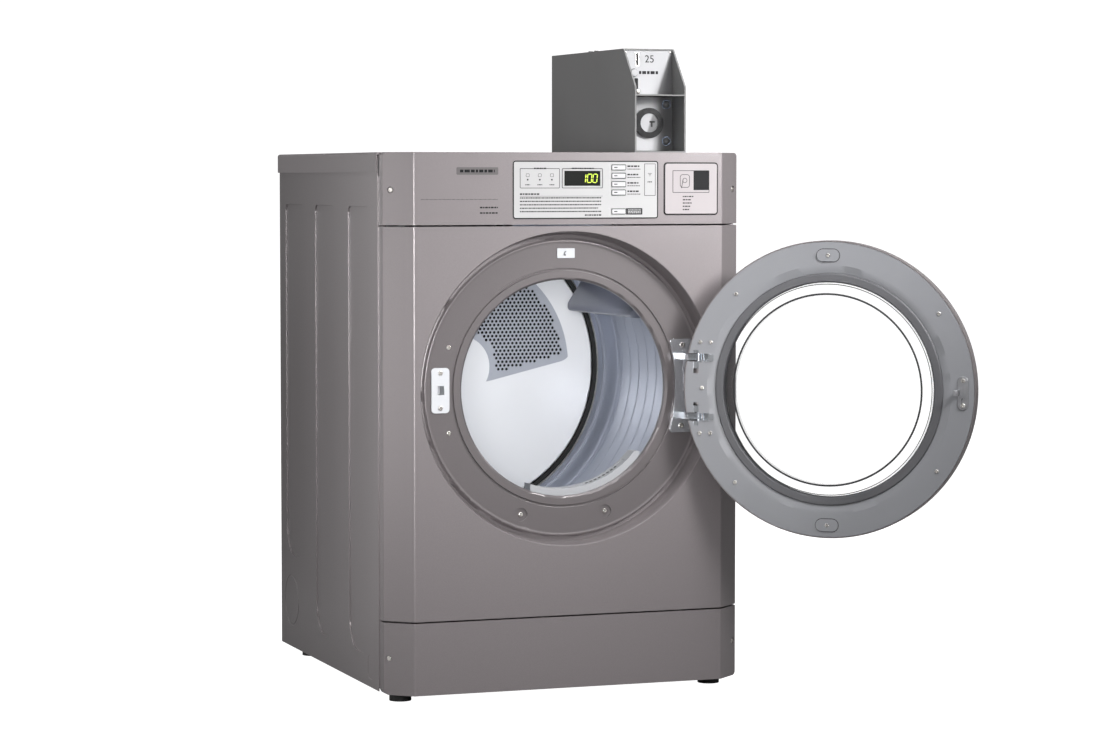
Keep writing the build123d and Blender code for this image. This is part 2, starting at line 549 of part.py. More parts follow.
HOUSE_Y0, HOUSE_Y1 = -198.0, -140.0
house = rod_y(MOTOR_X, MOTOR_Z, HOUSE_Y0, HOUSE_Y1, 78)
house += block(MOTOR_X, 62, HOUSE_Y0, HOUSE_Y1, 32, 140)
hollow = rod_y(MOTOR_X, MOTOR_Z, HOUSE_Y0 + 2, HOUSE_Y1 - 2, 76)
hollow += block(MOTOR_X, 60, HOUSE_Y0 + 2, HOUSE_Y1 - 2, 34, 138)
house -= hollow
house -= rod_y(MOTOR_X, MOTOR_Z, HOUSE_Y1 - 5, HOUSE_Y1 + 5, 8)
house -= rod_y(MOTOR_X, MOTOR_Z, HOUSE_Y0 - 5, HOUSE_Y0 + 5, 46)
house -= rod_y(0, DUCT_Z, HOUSE_Y1 - 5, HOUSE_Y1 + 5, DUCT_R)
nodes["blower_housing"] = house
DUCT_BEAD_Y, DUCT_END = 364.0, 398.0
DUCT_BODY_R = DUCT_R - 0.5
duct = ring_y(0, DUCT_Z, HOUSE_Y1 - 2, DUCT_BEAD_Y + 1, DUCT_BODY_R - 0.8, DUCT_BODY_R)
duct += ring_y(0, DUCT_Z, DUCT_BEAD_Y, DUCT_BEAD_Y + 3, DUCT_R - 0.8, DUCT_R + 2)
duct += ring_y(0, DUCT_Z, DUCT_BEAD_Y + 2, DUCT_END, DUCT_R - 0.8, DUCT_R)
nodes["exhaust_duct"] = duct

ARM_Y0, ARM_Y1 = 120.0, 124.0
PIVOT_X, PIVOT_Z = -70.0, 70.0
IDLER_WALL_R = 4.0
pivot_line = math.degrees(math.atan2(IDLER_Z - PIVOT_Z, IDLER_X - PIVOT_X))
arm_length = math.hypot(IDLER_Z - PIVOT_Z, IDLER_X - PIVOT_X)
arm = block(-8, arm_length + 8, ARM_Y0, ARM_Y1, -8, 8)
arm = fillet(arm.edges().filter_by(Axis.Y), 7.5)
arm = Pos(PIVOT_X, 0, PIVOT_Z) * Rot(0, -pivot_line, 0) * arm
arm -= rod_y(PIVOT_X, PIVOT_Z, ARM_Y0 - 2, ARM_Y1 + 2, 5.05)
arm += rod_y(IDLER_X, IDLER_Z, ARM_Y1 - 1, BELT_Y + 12, IDLER_WALL_R)
nodes["idler_arm"] = arm
nodes["idler_pulley"] = ring_y(IDLER_X, IDLER_Z, BELT_Y - 9, BELT_Y + 9, IDLER_WALL_R + 0.05, IDLER_R)
post = block(PIVOT_X - 14, PIVOT_X + 14, 100, 116, PAN_Z, 84) + rod_y(PIVOT_X, PIVOT_Z, 110, 130, 5)
nodes["base_pan"] += post

# Heater duct behind the rear bulkhead, with a serpentine element inside it.
HEAT_X0, HEAT_X1, HEAT_Z0, HEAT_Z1 = 66.0, 236.0, 150.0, 790.0
HEAT_Y0, HEAT_Y1 = BACK_SHEET_Y + SHEET + 0.3, 352.0
heater_box = block(HEAT_X0, HEAT_X1, HEAT_Y0, HEAT_Y1, HEAT_Z0, HEAT_Z1)
heater_box -= block(HEAT_X0 + 1, HEAT_X1 - 1, HEAT_Y0 + 1, HEAT_Y1 - 1, HEAT_Z0 - 5, HEAT_Z1 - 1)
heater_box -= block(HEAT_X0 + 10, HEAT_X1 - 30, HEAT_Y0 - 2, HEAT_Y0 + 3, 545, 770)
nodes["heater_box"] = heater_box
COIL_R = 3.0
COIL_RUNS = 6
coil_y = (HEAT_Y0 + HEAT_Y1) / 2
coil = None
for i in range(COIL_RUNS):
    x = 84 + 26 * i
    run = rod_z(x, coil_y, 190, 480, COIL_R)
    if coil is not None:
        level = 480 if i % 2 else 190
        run += rod_x(coil_y, level, x - 26, x, COIL_R)
        run += Pos(x, coil_y, level) * Sphere(COIL_R)
        run += Pos(x - 26, coil_y, level) * Sphere(COIL_R)
    coil = run if coil is None else coil + run
nodes["heater_coil"] = coil

# ---------------------------------------------------------------- coin meter
meter_side = [(METER_BACK, CABINET_TOP), (METER_BACK, METER_TOP), (METER_BROW_Y, METER_TOP),
              (METER_FRONT, METER_BROW_Z), (METER_FRONT, CABINET_TOP)]
meter_mid = (METER_X0 + METER_X1) / 2
meter_half = (METER_X1 - METER_X0) / 2
case = extrude(Plane.YZ * make_face(Polyline(*meter_side, close=True)), amount=meter_half, both=True)
case = Pos(meter_mid, 0, 0) * case
case = fillet(case.edges().filter_by(Axis.Z).group_by(Axis.Y)[-1], 4)
MX0, MX1 = METER_X0 + METER_WALL, METER_X1 - METER_WALL
case -= block(MX0, MX1, METER_FRONT - 5, METER_BACK - METER_WALL, CABINET_TOP + METER_WALL,
              METER_TOP - METER_WALL)
case += block(MX0 - 1, MX1 + 1, METER_FRONT, METER_BROW_Y + 30, METER_LEDGE_Z - 2.5, METER_LEDGE_Z)
case -= block(MX0, MX1, METER_FRONT - 5, METER_BROW_Y, METER_BROW_Z, METER_TOP + 5)
for y in (-90, -60):
    case += rod_z(METER_X0 + 12, y, METER_TOP - 1, METER_TOP + 2.5, 4)
nodes["meter_case"] = case

PLATE_Y0, PLATE_Y1 = METER_BROW_Y + 1, METER_BROW_Y + 4
face_z0, face_z1 = METER_LEDGE_Z + 0.5, METER_TOP - METER_WALL - 0.5
faceplate = block(MX0 + 0.5, MX1 - 0.5, PLATE_Y0, PLATE_Y1, face_z0, face_z1)
faceplate -= block(166.6, 168.4, PLATE_Y0 - 1, PLATE_Y1 + 1, 1143, 1166)
RETURN_X, RETURN_Z, RETURN_R = 161.0, 1130.0, 6.2
faceplate -= rod_y(RETURN_X, RETURN_Z, PLATE_Y0 - 1, PLATE_Y1 + 1, RETURN_R + 0.4)
faceplate -= block(163, 169.4, PLATE_Y0 - 1, PLATE_Y1 + 1, 1098, 1120)
faceplate += ring_y(RETURN_X, RETURN_Z, PLATE_Y0 - 1.2, PLATE_Y0 + 0.5, RETURN_R + 0.4, RETURN_R + 2)
faceplate += block(159, 176, PLATE_Y1, PLATE_Y1 + 14, 1092, 1097)
nodes["meter_faceplate"] = faceplate
nodes["coin_return_button"] = (rod_y(RETURN_X, RETURN_Z, PLATE_Y0 - 4.5, PLATE_Y1 + 1, RETURN_R)
                               + rod_y(RETURN_X, RETURN_Z, PLATE_Y1, PLATE_Y1 + 12, 3))

VAULT_Z0, VAULT_Z1 = CABINET_TOP + METER_WALL + 1, METER_LEDGE_Z - 3.5
vault_door = block(MX0 + 1, MX1 - 1, PLATE_Y0 - 3, PLATE_Y1, VAULT_Z0, VAULT_Z1)
vault_door += ring_y(LOCK_X, LOCK_Z, PLATE_Y0 - 9, PLATE_Y0 - 2, 17.3, 28)
vault_door -= rod_y(LOCK_X, LOCK_Z, PLATE_Y0 - 12, PLATE_Y1 + 2, 17.3)
for z in (1005.0, 1072.5):
    bolt = Pos(224, PLATE_Y0 - 3, z) * Sphere(7) & block(210, 240, PLATE_Y0 - 12, PLATE_Y0 - 2, z - 9, z + 9)
    vault_door += bolt
nodes["vault_door"] = vault_door
BOX_Y1 = -62.0
cash_box = block(150, 230, PLATE_Y1, BOX_Y1, VAULT_Z0 + 3, VAULT_Z1 - 5)
cash_box -= block(151.2, 228.8, PLATE_Y1 + 24, BOX_Y1 - 1.2, VAULT_Z0 + 4.2, VAULT_Z1)
nodes["cash_box"] = cash_box
lock = rod_y(LOCK_X, LOCK_Z, PLATE_Y0 - 8, PLATE_Y1 - 0.5, 17)
lock -= block(LOCK_X + 1, LOCK_X + 12, PLATE_Y0 - 9, PLATE_Y0 - 3, LOCK_Z + 1, LOCK_Z + 4)
lock -= block(LOCK_X + 3, LOCK_X + 6, PLATE_Y0 - 9, PLATE_Y0 - 3, LOCK_Z - 7, LOCK_Z + 2)
nodes["vault_lock"] = lock

# ---------------------------------------------------------------- door, drawn closed and then swung open
shell_line = [(200, -393.5), (235, -391), (255, -387.5), (263, -383.5), (266.7, -378), (LINER_R, -372),
              (LINER_R, LINER_Y - 1.5)]
door_shell = turned(sheet_line(shell_line, 2.0), DOOR_Z)
window_line = [(0, -398), (90, -397.3), (160, -395.7), (199.5, -393.5)]
door_window = turned(sheet_line(window_line, 3.0), DOOR_Z)
liner_line = [(265, LINER_Y - 8), (265, LINER_Y), (224, LINER_Y), (209, LINER_Y - 4), (209, LINER_Y - 14)]
door_liner = turned(sheet_line(liner_line, 2.0), DOOR_Z)
gasket_line = [(208.5, LINER_Y - 13), (208.5, LINER_Y - 3), (206, LINER_Y - 0.5), (195, LINER_Y - 0.5),
               (192.5, LINER_Y - 3), (192.5, LINER_Y - 13)]
door_gasket = turned(gasket_line, DOOR_Z)
glass_line = [(0, -337.5), (150, -337.5), (166, -338.5), (172, -341), (176, -345.5), (GLASS_R, -346.5)]
door_glass = turned(sheet_line(glass_line, -4.0), DOOR_Z)

NOTCH_HALF = 7.5
for z in (DOOR_Z - HINGE_ARM_Z, DOOR_Z + HINGE_ARM_Z):
    notch = block(219, 276, -379, -330, z - NOTCH_HALF, z + NOTCH_HALF)
    door_shell -= notch
    door_liner -= notch
for z0, z1 in ((25, 67), (-70, -28)):
    door_liner -= block(239.5, 249.5, LINER_Y - 10, LINER_Y + 5, DOOR_Z + z0, DOOR_Z + z1)

# Each hinge pocket is a chrome trough that the bracket's arm drops into as the door shuts.
POCKET_X0, POCKET_FLOOR = 219.3, -378.0
leaves = []
for z in (DOOR_Z - HINGE_ARM_Z, DOOR_Z + HINGE_ARM_Z):
    pocket = block(POCKET_X0, 240, POCKET_FLOOR, LINER_Y + 1, z - NOTCH_HALF + 0.2, z + NOTCH_HALF - 0.2)
    pocket -= block(POCKET_X0 + 1.2, 241, POCKET_FLOOR + 1.5, LINER_Y + 2, z - NOTCH_HALF + 1.1,
                    z + NOTCH_HALF - 1.1)
    pocket += block(211, POCKET_X0 + 1.2, LINER_Y, LINER_Y + 1.2, z - ARM_HALF, z + ARM_HALF)
    leaves.append(pocket)
    for side in (-1, 1):
        z0, z1 = sorted((z + side * 8.2, z + side * 20))
        knuckle = block(HINGE_X - 6, HINGE_X + 4, HINGE_Y, LINER_Y - 2, z0, z1)
        knuckle += rod_z(HINGE_X, HINGE_Y, z0, z1, 5.4)
        leaves.append(knuckle - rod_z(HINGE_X, HINGE_Y, z0 - 1, z1 + 1, PIN_BORE_R))

# Across the door: lx is measured from its centre towards the latch, lz upwards.
STRIKE_X, STRIKE_Z = 245.5, -1.0
strike = plate_y(-STRIKE_X, DOOR_Z + STRIKE_Z, 18.5, 60, 9.2, LINER_Y, LINER_Y + 2)
hook = block(CATCH_X - 2.5, CATCH_X + 2.5, LINER_Y + 1, LINER_Y + 21, DOOR_Z - 5, DOOR_Z + 5)
hook += block(CATCH_X - 2.5, CATCH_X + 5, LINER_Y + 17, LINER_Y + 21, DOOR_Z - 5, DOOR_Z + 5)
strike += hook

PLUGS = [(0.0, 241.0), (0.0, -243.8)]
LINER_SCREWS = [(-233.0, -1.0), (-169.6, 170.1), (200.9, 139.2), (199.2, -141.2), (-170.5, -171.6),
                (-236.0, 82.0), (-216.4, 82.0), (-237.0, -83.5), (-217.3, -83.2)]
fixings = []
for lx, lz in PLUGS:
    fixings.append(plate_y(-lx, DOOR_Z + lz, 41, 22, 10.9, LINER_Y, LINER_Y + 1.8))
    fixings.append(screw_head((-lx, LINER_Y + 1.8, DOOR_Z + lz), (0, 1, 0), 3.4, 1.0))
for lx, lz in LINER_SCREWS:
    fixings.append(screw_head((-lx, LINER_Y, DOOR_Z + lz), (0, 1, 0), 3.6, 1.4))
for lz in (-23.0, 21.0):
    fixings.append(screw_head((-STRIKE_X, LINER_Y + 2, DOOR_Z + lz), (0, 1, 0), 4.0, 1.6))

door = {"door_shell": door_shell, "door_window": door_window, "door_liner": door_liner,
        "door_gasket": door_gasket, "door_glass": door_glass, "door_strike": strike,
        "door_screws": group(*fixings), "hinge_leaves": group(*leaves)}
swing = Pos(HINGE_X, HINGE_Y, 0) * Rot(0, 0, DOOR_OPEN) * Pos(-HINGE_X, -HINGE_Y, 0)
for name, solid in door.items():
    nodes[name] = swing * solid

# ---------------------------------------------------------------- export
os.makedirs("parts", exist_ok=True)
for name, solid in nodes.items():
    export_step(solid, f"parts/{name}.step")
print(len(nodes), "nodes written")
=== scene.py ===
"""A coin-operated front-load tumble dryer with its door standing open, in metres."""
import json
import math

import bpy
from mathutils import Matrix, Vector

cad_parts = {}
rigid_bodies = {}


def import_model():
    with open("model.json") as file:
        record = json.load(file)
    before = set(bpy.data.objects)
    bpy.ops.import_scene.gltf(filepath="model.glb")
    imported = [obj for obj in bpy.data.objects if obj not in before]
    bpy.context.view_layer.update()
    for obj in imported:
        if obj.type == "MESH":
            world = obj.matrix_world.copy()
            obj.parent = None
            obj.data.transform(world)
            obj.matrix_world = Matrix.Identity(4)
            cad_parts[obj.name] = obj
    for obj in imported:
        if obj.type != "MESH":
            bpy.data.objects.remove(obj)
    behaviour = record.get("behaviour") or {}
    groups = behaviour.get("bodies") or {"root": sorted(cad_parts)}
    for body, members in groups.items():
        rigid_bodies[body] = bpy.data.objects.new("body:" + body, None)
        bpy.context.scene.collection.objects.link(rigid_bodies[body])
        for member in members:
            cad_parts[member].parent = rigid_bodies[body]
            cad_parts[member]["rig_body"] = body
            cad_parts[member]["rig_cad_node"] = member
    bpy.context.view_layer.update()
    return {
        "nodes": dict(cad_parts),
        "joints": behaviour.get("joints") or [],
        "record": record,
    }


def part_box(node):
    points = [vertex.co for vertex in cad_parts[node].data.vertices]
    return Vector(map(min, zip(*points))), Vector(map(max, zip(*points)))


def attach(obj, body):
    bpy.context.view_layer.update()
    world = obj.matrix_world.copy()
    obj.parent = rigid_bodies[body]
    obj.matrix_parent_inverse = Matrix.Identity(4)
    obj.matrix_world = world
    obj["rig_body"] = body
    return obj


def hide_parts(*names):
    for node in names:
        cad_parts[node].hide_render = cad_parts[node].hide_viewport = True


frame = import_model()
MM = 0.001
scene = bpy.context.scene
bpy.ops.object.select_all(action="DESELECT")

# ---------------------------------------------------------------- places read from the frame
HINGE = Vector(next(j["pos_m"] for j in frame["joints"] if j["name"] == "door_hinge"))
DRUM_AXIS = Vector(next(j["pos_m"] for j in frame["joints"] if j["name"] == "drum_spin"))
DOOR_OPEN = math.radians(142)
DOOR_Z = HINGE.z
FRONT_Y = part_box("front_panel")[0].y
LINER_Y = FRONT_Y + 16 * MM
PRINT_T = 0.15 * MM


# ---------------------------------------------------------------- materials
class Finish:
    """A procedural material being built: its nodes, and short calls that add to them."""

    def __init__(self, name, roughness=0.5, metallic=0.0, **sockets):
        self.material = bpy.data.materials.new(name)
        self.material.use_nodes = True
        self.nodes = self.material.node_tree.nodes
        self.links = self.material.node_tree.links
        self.shader = self.nodes["Principled BSDF"]
        self.coords = self.nodes.new("ShaderNodeTexCoord")
        self.set(Roughness=roughness, Metallic=metallic, **sockets)

    def set(self, **sockets):
        for label, value in sockets.items():
            self.shader.inputs[label.replace("_", " ")].default_value = value
        return self

    def place(self, scale=(1, 1, 1), offset=(0, 0, 0), turn=(0, 0, 0)):
        """Object coordinates, moved, turned and stretched."""
        mapping = self.nodes.new("ShaderNodeMapping")
        mapping.inputs["Scale"].default_value = scale
        mapping.inputs["Location"].default_value = offset
        mapping.inputs["Rotation"].default_value = turn
        self.links.new(self.coords.outputs["Object"], mapping.inputs["Vector"])
        return mapping.outputs["Vector"]

    def noise(self, scale, detail=4, stretch=(1, 1, 1), roughness=0.5):
        node = self.nodes.new("ShaderNodeTexNoise")
        node.inputs["Scale"].default_value = scale
        node.inputs["Detail"].default_value = detail
        node.inputs["Roughness"].default_value = roughness
        self.links.new(self.place(stretch), node.inputs["Vector"])
        return node.outputs["Fac"]

    def ramp(self, fac, *stops):
        """Colours at positions, from a value."""
        node = self.nodes.new("ShaderNodeValToRGB")
        elements = node.color_ramp.elements
        while len(elements) < len(stops):
            elements.new(0.5)
        for element, (position, colour) in zip(elements, stops):
            element.position = position
            element.color = (*colour, 1)
        self.links.new(fac, node.inputs["Fac"])
        return node.outputs["Color"]

    def span(self, fac, low, high, from_low=0.3, from_high=0.7):
        """A value moved from one range to another."""
        node = self.nodes.new("ShaderNodeMapRange")
        node.inputs["From Min"].default_value = from_low
        node.inputs["From Max"].default_value = from_high
        node.inputs["To Min"].default_value = low
        node.inputs["To Max"].default_value = high
        self.links.new(fac, node.inputs["Value"])
        return node.outputs["Result"]

    def join(self, output, socket):
        self.links.new(output, self.shader.inputs[socket])
        return self

    def bump(self, height, strength, distance):
        node = self.nodes.new("ShaderNodeBump")
        node.inputs["Strength"].default_value = strength
        node.inputs["Distance"].default_value = distance
        self.links.new(height, node.inputs["Height"])
        return self.join(node.outputs["Normal"], "Normal")


def shade(colour, factor):
    """The same colour, lighter or darker."""
    return tuple(min(1.0, c * factor) for c in colour)


def plain(name, colour, roughness, metallic=0.0, spread=0.05, grain=900, depth=0.03, smudge=6,
          stretch=(1, 1, 1), **sockets):
    """A finish with soft colour drift, uneven gloss and a fine grain."""
    f = Finish(name, roughness, metallic, **sockets)
    drift = f.noise(smudge, 5)
    f.join(f.ramp(drift, (0.3, shade(colour, 1 - spread)), (0.7, shade(colour, 1 + spread))), "Base Color")
    fine = f.noise(grain, 3, stretch)
    f.join(f.span(fine, roughness * 0.85, min(1.0, roughness * 1.15)), "Roughness")
    f.bump(fine, 0.25, depth * MM)
    return f.material


def enamel(name, smoothest, dullest):
    """Clear-coated enamel with a faint orange peel, still without its colour."""
    f = Finish(name, 0.36, 0.35, Coat_Weight=0.25, Coat_Roughness=0.18)
    peel = f.noise(420, 3)
    f.join(f.span(peel, smoothest, dullest), "Roughness")
    f.bump(peel, 0.12, 0.05 * MM)
    return f


def flakes(f, colour):
    """Fine metal flake in a colour."""
    return f.ramp(f.noise(2600, 2), (0.34, shade(colour, 0.90)), (0.52, colour), (0.70, shade(colour, 1.12)))


def cabinet_enamel(name, colour):
    """Warm grey enamel with fine metal flake and a clear coat."""
    f = enamel(name, 0.324, 0.4032)
    return f.join(flakes(f, colour), "Base Color").material


def brushed(name, colour, roughness, stretch, spread=0.12, metallic=1.0):
    """Metal with straight fine scratches."""
    f = Finish(name, roughness, metallic)
    lines = f.noise(60, 5, stretch, 0.7)
    f.join(f.ramp(lines, (0.3, shade(colour, 1 - spread)), (0.7, shade(colour, 1 + spread))), "Base Color")
    f.join(f.span(lines, roughness * 0.75, roughness * 1.3), "Roughness")
    f.bump(lines, 0.15, 0.02 * MM)
    return f.material


def clear(name, tint, roughness=0.02, low=0.03, high=0.92):
    """Clear pane: seen through head on, denser where it curves away."""
    f = Finish(name, roughness, 0.0, IOR=1.5, Specular_IOR_Level=0.6)
    facing = f.nodes.new("ShaderNodeLayerWeight")
    facing.inputs["Blend"].default_value = 0.35
    f.join(f.span(facing.outputs["Facing"], low, high, 0.12, 0.50), "Alpha")
    smear = f.noise(9, 4)
    f.join(f.ramp(smear, (0.35, shade(tint, 0.97)), (0.65, tint)), "Base Color")
    f.join(f.span(smear, roughness, roughness * 3), "Roughness")
    return f.material


def glow(name, colour, strength):
    """Lit digits."""
    f = Finish(name, 0.4, 0.0, Emission_Strength=strength)
    drift = f.noise(300, 2)
    lit = f.ramp(drift, (0.3, shade(colour, 0.9)), (0.7, colour))
    f.join(lit, "Base Color")
    f.join(lit, "Emission Color")
    return f.material


def front_enamel(name, colour):
    """The cabinet enamel with painted shade: its colour darker inside the round door recess."""
    f = enamel(name, 0.33, 0.41)
    centred = f.place((1, 0, 1), (0, 0, -DOOR_Z))
    length = f.nodes.new("ShaderNodeVectorMath")
    length.operation = "LENGTH"
    f.links.new(centred, length.inputs[0])
    recess_shade = f.nodes.new("ShaderNodeVectorMath")
    recess_shade.operation = "SCALE"
    f.links.new(flakes(f, colour), recess_shade.inputs[0])
    f.links.new(f.span(length.outputs["Value"], RECESS_SHADE, 1.0, *RECESS_BORDER), recess_shade.inputs["Scale"])
    return f.join(recess_shade.outputs["Vector"], "Base Color").material


def reflection_graded(name, colour, roughness, across, start, end, darkest):
    """Plate steel with a painted reflection: its colour turns darker across one line, standing for what it
    mirrors beside it.
    """
    f = Finish(name, roughness, 0.15)
    reach = f.nodes.new("ShaderNodeVectorMath")
    reach.operation = "DOT_PRODUCT"
    reach.inputs[1].default_value = across
    f.links.new(f.coords.outputs["Object"], reach.inputs[0])
    side = f.span(reach.outputs["Value"], 0.0, 1.0, start, end)
    f.join(f.ramp(side, (0.0, colour), (1.0, shade(colour, darkest))), "Base Color")
    lines = f.noise(60, 5, (8, 1, 1), 0.7)
    f.join(f.span(lines, roughness * 0.85, roughness * 1.15), "Roughness")
    f.bump(lines, 0.1, 0.01 * MM)
    return f.material


def side_enamel(name, colour):
    """The cabinet enamel on the left side, with painted shade: its colour lighter at the front and darker
    towards the back.
    """
    f = enamel(name, 0.33, 0.41)
    apart = f.nodes.new("ShaderNodeSeparateXYZ")
    f.links.new(f.coords.outputs["Object"], apart.inputs["Vector"])
    # Painted shade: the colour runs from a little lighter at the front to much darker at the back.
    rear_shade = f.ramp(f.span(apart.outputs["Y"], 0.0, 1.0, -0.30, 0.34), (0.0, shade(colour, 1.10)),
                  (0.45, shade(colour, 0.86)), (1.0, shade(colour, 0.62)))
    return f.join(rear_shade, "Base Color").material


def grooved(name, colour, roughness, metallic, pitch):
    """Coated sheet with shallow rings rolled into it round the drum's axis."""
    f = Finish(name, roughness, metallic)
    drift = f.noise(6, 4)
    f.join(f.ramp(drift, (0.3, shade(colour, 0.985)), (0.7, shade(colour, 1.015))), "Base Color")
    rings = f.nodes.new("ShaderNodeTexWave")
    rings.bands_direction = "Y"
    rings.inputs["Scale"].default_value = math.pi / (10 * pitch)
    f.links.new(f.coords.outputs["Object"], rings.inputs["Vector"])
    f.join(f.span(drift, roughness * 0.9, roughness * 1.1), "Roughness")
    f.bump(f.span(rings.outputs["Fac"], 0.0, 1.0, 0.0, 0.02), 1.0, 1.0 * MM)
    return f.material


WARM_GREY = (0.205, 0.185, 0.190)
# Painted shade: inside the door recess the front enamel's colour is scaled down to this, fading in across
# the border's two radii.
RECESS_SHADE = 0.66
RECESS_BORDER = (262 * MM, 272 * MM)
RING_PITCH = 46 * MM
FINISHES = {
    "cabinet_paint": cabinet_enamel("warm_grey_enamel", WARM_GREY),
    "front_enamel": front_enamel("front_enamel", WARM_GREY),
    "galvanised": brushed("galvanised_sheet", (0.50, 0.51, 0.52), 0.42, (1, 1, 0.4), 0.2, 0.8),
    "white_overlay": plain("white_overlay_film", (0.36, 0.358, 0.36), 0.5, spread=0.02, grain=2200,
                           Specular_IOR_Level=0.25),
    "display_lens": plain("display_lens", (0.012, 0.013, 0.012), 0.12, spread=0.2, depth=0.005),
    "grey_pad": plain("grey_pad_plastic", (0.32, 0.295, 0.302), 0.5, spread=0.03, Specular_IOR_Level=0.3),
    "key_plastic": plain("key_cap_plastic", (0.42, 0.42, 0.425), 0.5, spread=0.03, Specular_IOR_Level=0.3),
    "screw_steel": brushed("zinc_screw", (0.72, 0.69, 0.66), 0.28, (1, 8, 1)),
    "white_plastic": plain("white_moulding", (0.47, 0.48, 0.50), 0.4, spread=0.02),
    "ledge_enamel": plain("ledge_enamel", (0.30, 0.305, 0.32), 0.45, spread=0.02, Specular_IOR_Level=0.3),
    "side_enamel": side_enamel("side_enamel", WARM_GREY),
    "hinge_chrome": plain("hinge_chrome", (0.80, 0.83, 0.87), 0.16, 0.85, spread=0.02, grain=2500,
                          depth=0.002),
    "white_enamel": plain("white_enamel", (0.83, 0.84, 0.86), 0.22, spread=0.015, grain=500, depth=0.03,
                          Coat_Weight=0.3, Coat_Roughness=0.08),
    "felt": plain("drum_felt", (0.02, 0.02, 0.021), 0.95, spread=0.25, grain=1500, depth=0.4),
    "grille_paint": plain("grille_grey_enamel", (0.40, 0.42, 0.47), 0.34, spread=0.04, grain=700),
    "belt_rubber": plain("belt_rubber", (0.02, 0.02, 0.02), 0.7, spread=0.2),
    "motor_steel": brushed("motor_steel", (0.34, 0.35, 0.37), 0.4, (1, 8, 1)),
    "black_plastic": plain("black_moulding", (0.02, 0.02, 0.021), 0.5, spread=0.15),
    "heater_wire": plain("heater_wire", (0.20, 0.17, 0.15), 0.5, 0.8, spread=0.3),
    "board_laminate": plain("board_laminate", (0.02, 0.14, 0.06), 0.45, spread=0.15),
    "meter_paint": plain("meter_textured_paint", (0.128, 0.128, 0.128), 0.55, spread=0.05, grain=900,
                         depth=0.12),
    # Painted reflection: the faceplate steel darkens past a slanted line towards its right.
    "meter_chrome": reflection_graded("meter_faceplate_steel", (0.31, 0.31, 0.32), 0.5, (0.949, 0, -0.316), -149.5 * MM,
                           -145.5 * MM, 0.35),
    "window_glass": clear("window_glass", (0.22, 0.22, 0.24)),
    "liner_grey": plain("liner_grey_moulding", (0.215, 0.218, 0.233), 0.5, spread=0.03, grain=1300),
    "gasket_rubber": plain("gasket_rubber", (0.085, 0.085, 0.092), 0.5, spread=0.12),
    "foot_rubber": plain("foot_rubber", (0.018, 0.018, 0.018), 0.6, spread=0.2),
    "strike_zinc": brushed("strike_zinc", (0.42, 0.42, 0.44), 0.35, (6, 1, 1)),
    "drum_steel": grooved("drum_coated_steel", (0.37, 0.395, 0.46), 0.32, 0.75, RING_PITCH),
    "baffle_plastic": plain("lifter_moulding", (0.13, 0.138, 0.175), 0.28, spread=0.02, grain=1800,
                            depth=0.003, Coat_Weight=0.3, Coat_Roughness=0.1),
    # Painted reflection: the vault steel darkens towards its right.
    "vault_steel": reflection_graded("vault_steel", (0.31, 0.31, 0.32), 0.45, (1, 0, 0), 196 * MM, 214 * MM, 0.30),
    "label_grey": plain("label_plate_grey", (0.10, 0.092, 0.094), 0.35, spread=0.06),
    "dark_print": plain("dark_print", (0.016, 0.016, 0.017), 0.6, spread=0.2, Specular_IOR_Level=0.1),
    "soft_print": plain("soft_grey_print", (0.035, 0.035, 0.037), 0.6, spread=0.1, Specular_IOR_Level=0.1),
    "gloss_black": plain("gloss_black_moulding", (0.012, 0.012, 0.013), 0.18, spread=0.1, depth=0.01),
    "blued_chrome": plain("blued_chrome", (0.42, 0.50, 0.66), 0.16, 1.0, spread=0.1, grain=200, depth=0.02),
    "lit_digit": glow("lit_digit", (0.50, 0.66, 0.05), 0.9),
    # Near black, for real gaps and holes, and as painted shade behind the grille and round the pad.
    "gap_and_shade_dark": plain("gap_and_shade_dark", (0.012, 0.012, 0.012), 0.9, spread=0.3),
}

# ---------------------------------------------------------------- working with meshes by hand
REFINED = {}


def only(obj):
    """Select one object and make it the active one."""
    bpy.ops.object.select_all(action="DESELECT")
    obj.select_set(True)
    bpy.context.view_layer.objects.active = obj
    return obj


def edit(obj, mode="FACE"):
    """Enter edit mode with nothing selected."""
    only(obj)
    bpy.ops.object.mode_set(mode="EDIT")
    bpy.ops.mesh.select_mode(type=mode)
    bpy.ops.mesh.select_all(action="DESELECT")


def leave():
    bpy.ops.object.mode_set(mode="OBJECT")


def pick_faces(obj, test):
    """Enter edit mode with the faces selected that pass a test."""
    edit(obj)
    leave()
    for face in obj.data.polygons:
        face.select = bool(test(face))
    bpy.ops.object.mode_set(mode="EDIT")


def pick_vertices(obj, test):
    """Enter edit mode with the vertices selected that pass a test."""
    edit(obj, "VERT")
    leave()
    for vertex in obj.data.vertices:
        vertex.select = bool(test(vertex.co))
    bpy.ops.object.mode_set(mode="EDIT")


def apply_modifiers(obj):
    only(obj)
    for modifier in list(obj.modifiers):
        bpy.ops.object.modifier_apply(modifier=modifier.name)


def bake_place(obj):
    """Put the object at the origin with its place in its mesh."""
    only(obj)
    bpy.ops.object.transform_apply(location=True, rotation=True, scale=True)
    return obj


def coat(obj, finish):
    """Give the whole piece one finish."""
    obj.data.materials.clear()
    obj.data.materials.append(FINISHES[finish])
    return obj


def smooth(obj, angle=35):
    only(obj)
    bpy.ops.object.shade_smooth_by_angle(angle=math.radians(angle))
    return obj


def bevel(obj, width, segments=2, angle=35):
    """Round every sharp edge a little."""
    modifier = obj.modifiers.new("edge", "BEVEL")
    modifier.width = width
    modifier.segments = segments
    modifier.limit_method = "ANGLE"
    modifier.angle_limit = math.radians(angle)
    modifier.harden_normals = False
    apply_modifiers(obj)
    return obj


def even_normals(obj):
    """Keep wide flat faces flat where they meet rounded edges."""
    modifier = obj.modifiers.new("normals", "WEIGHTED_NORMAL")
    modifier.keep_sharp = True
    modifier.weight = 80
    apply_modifiers(obj)
    return obj


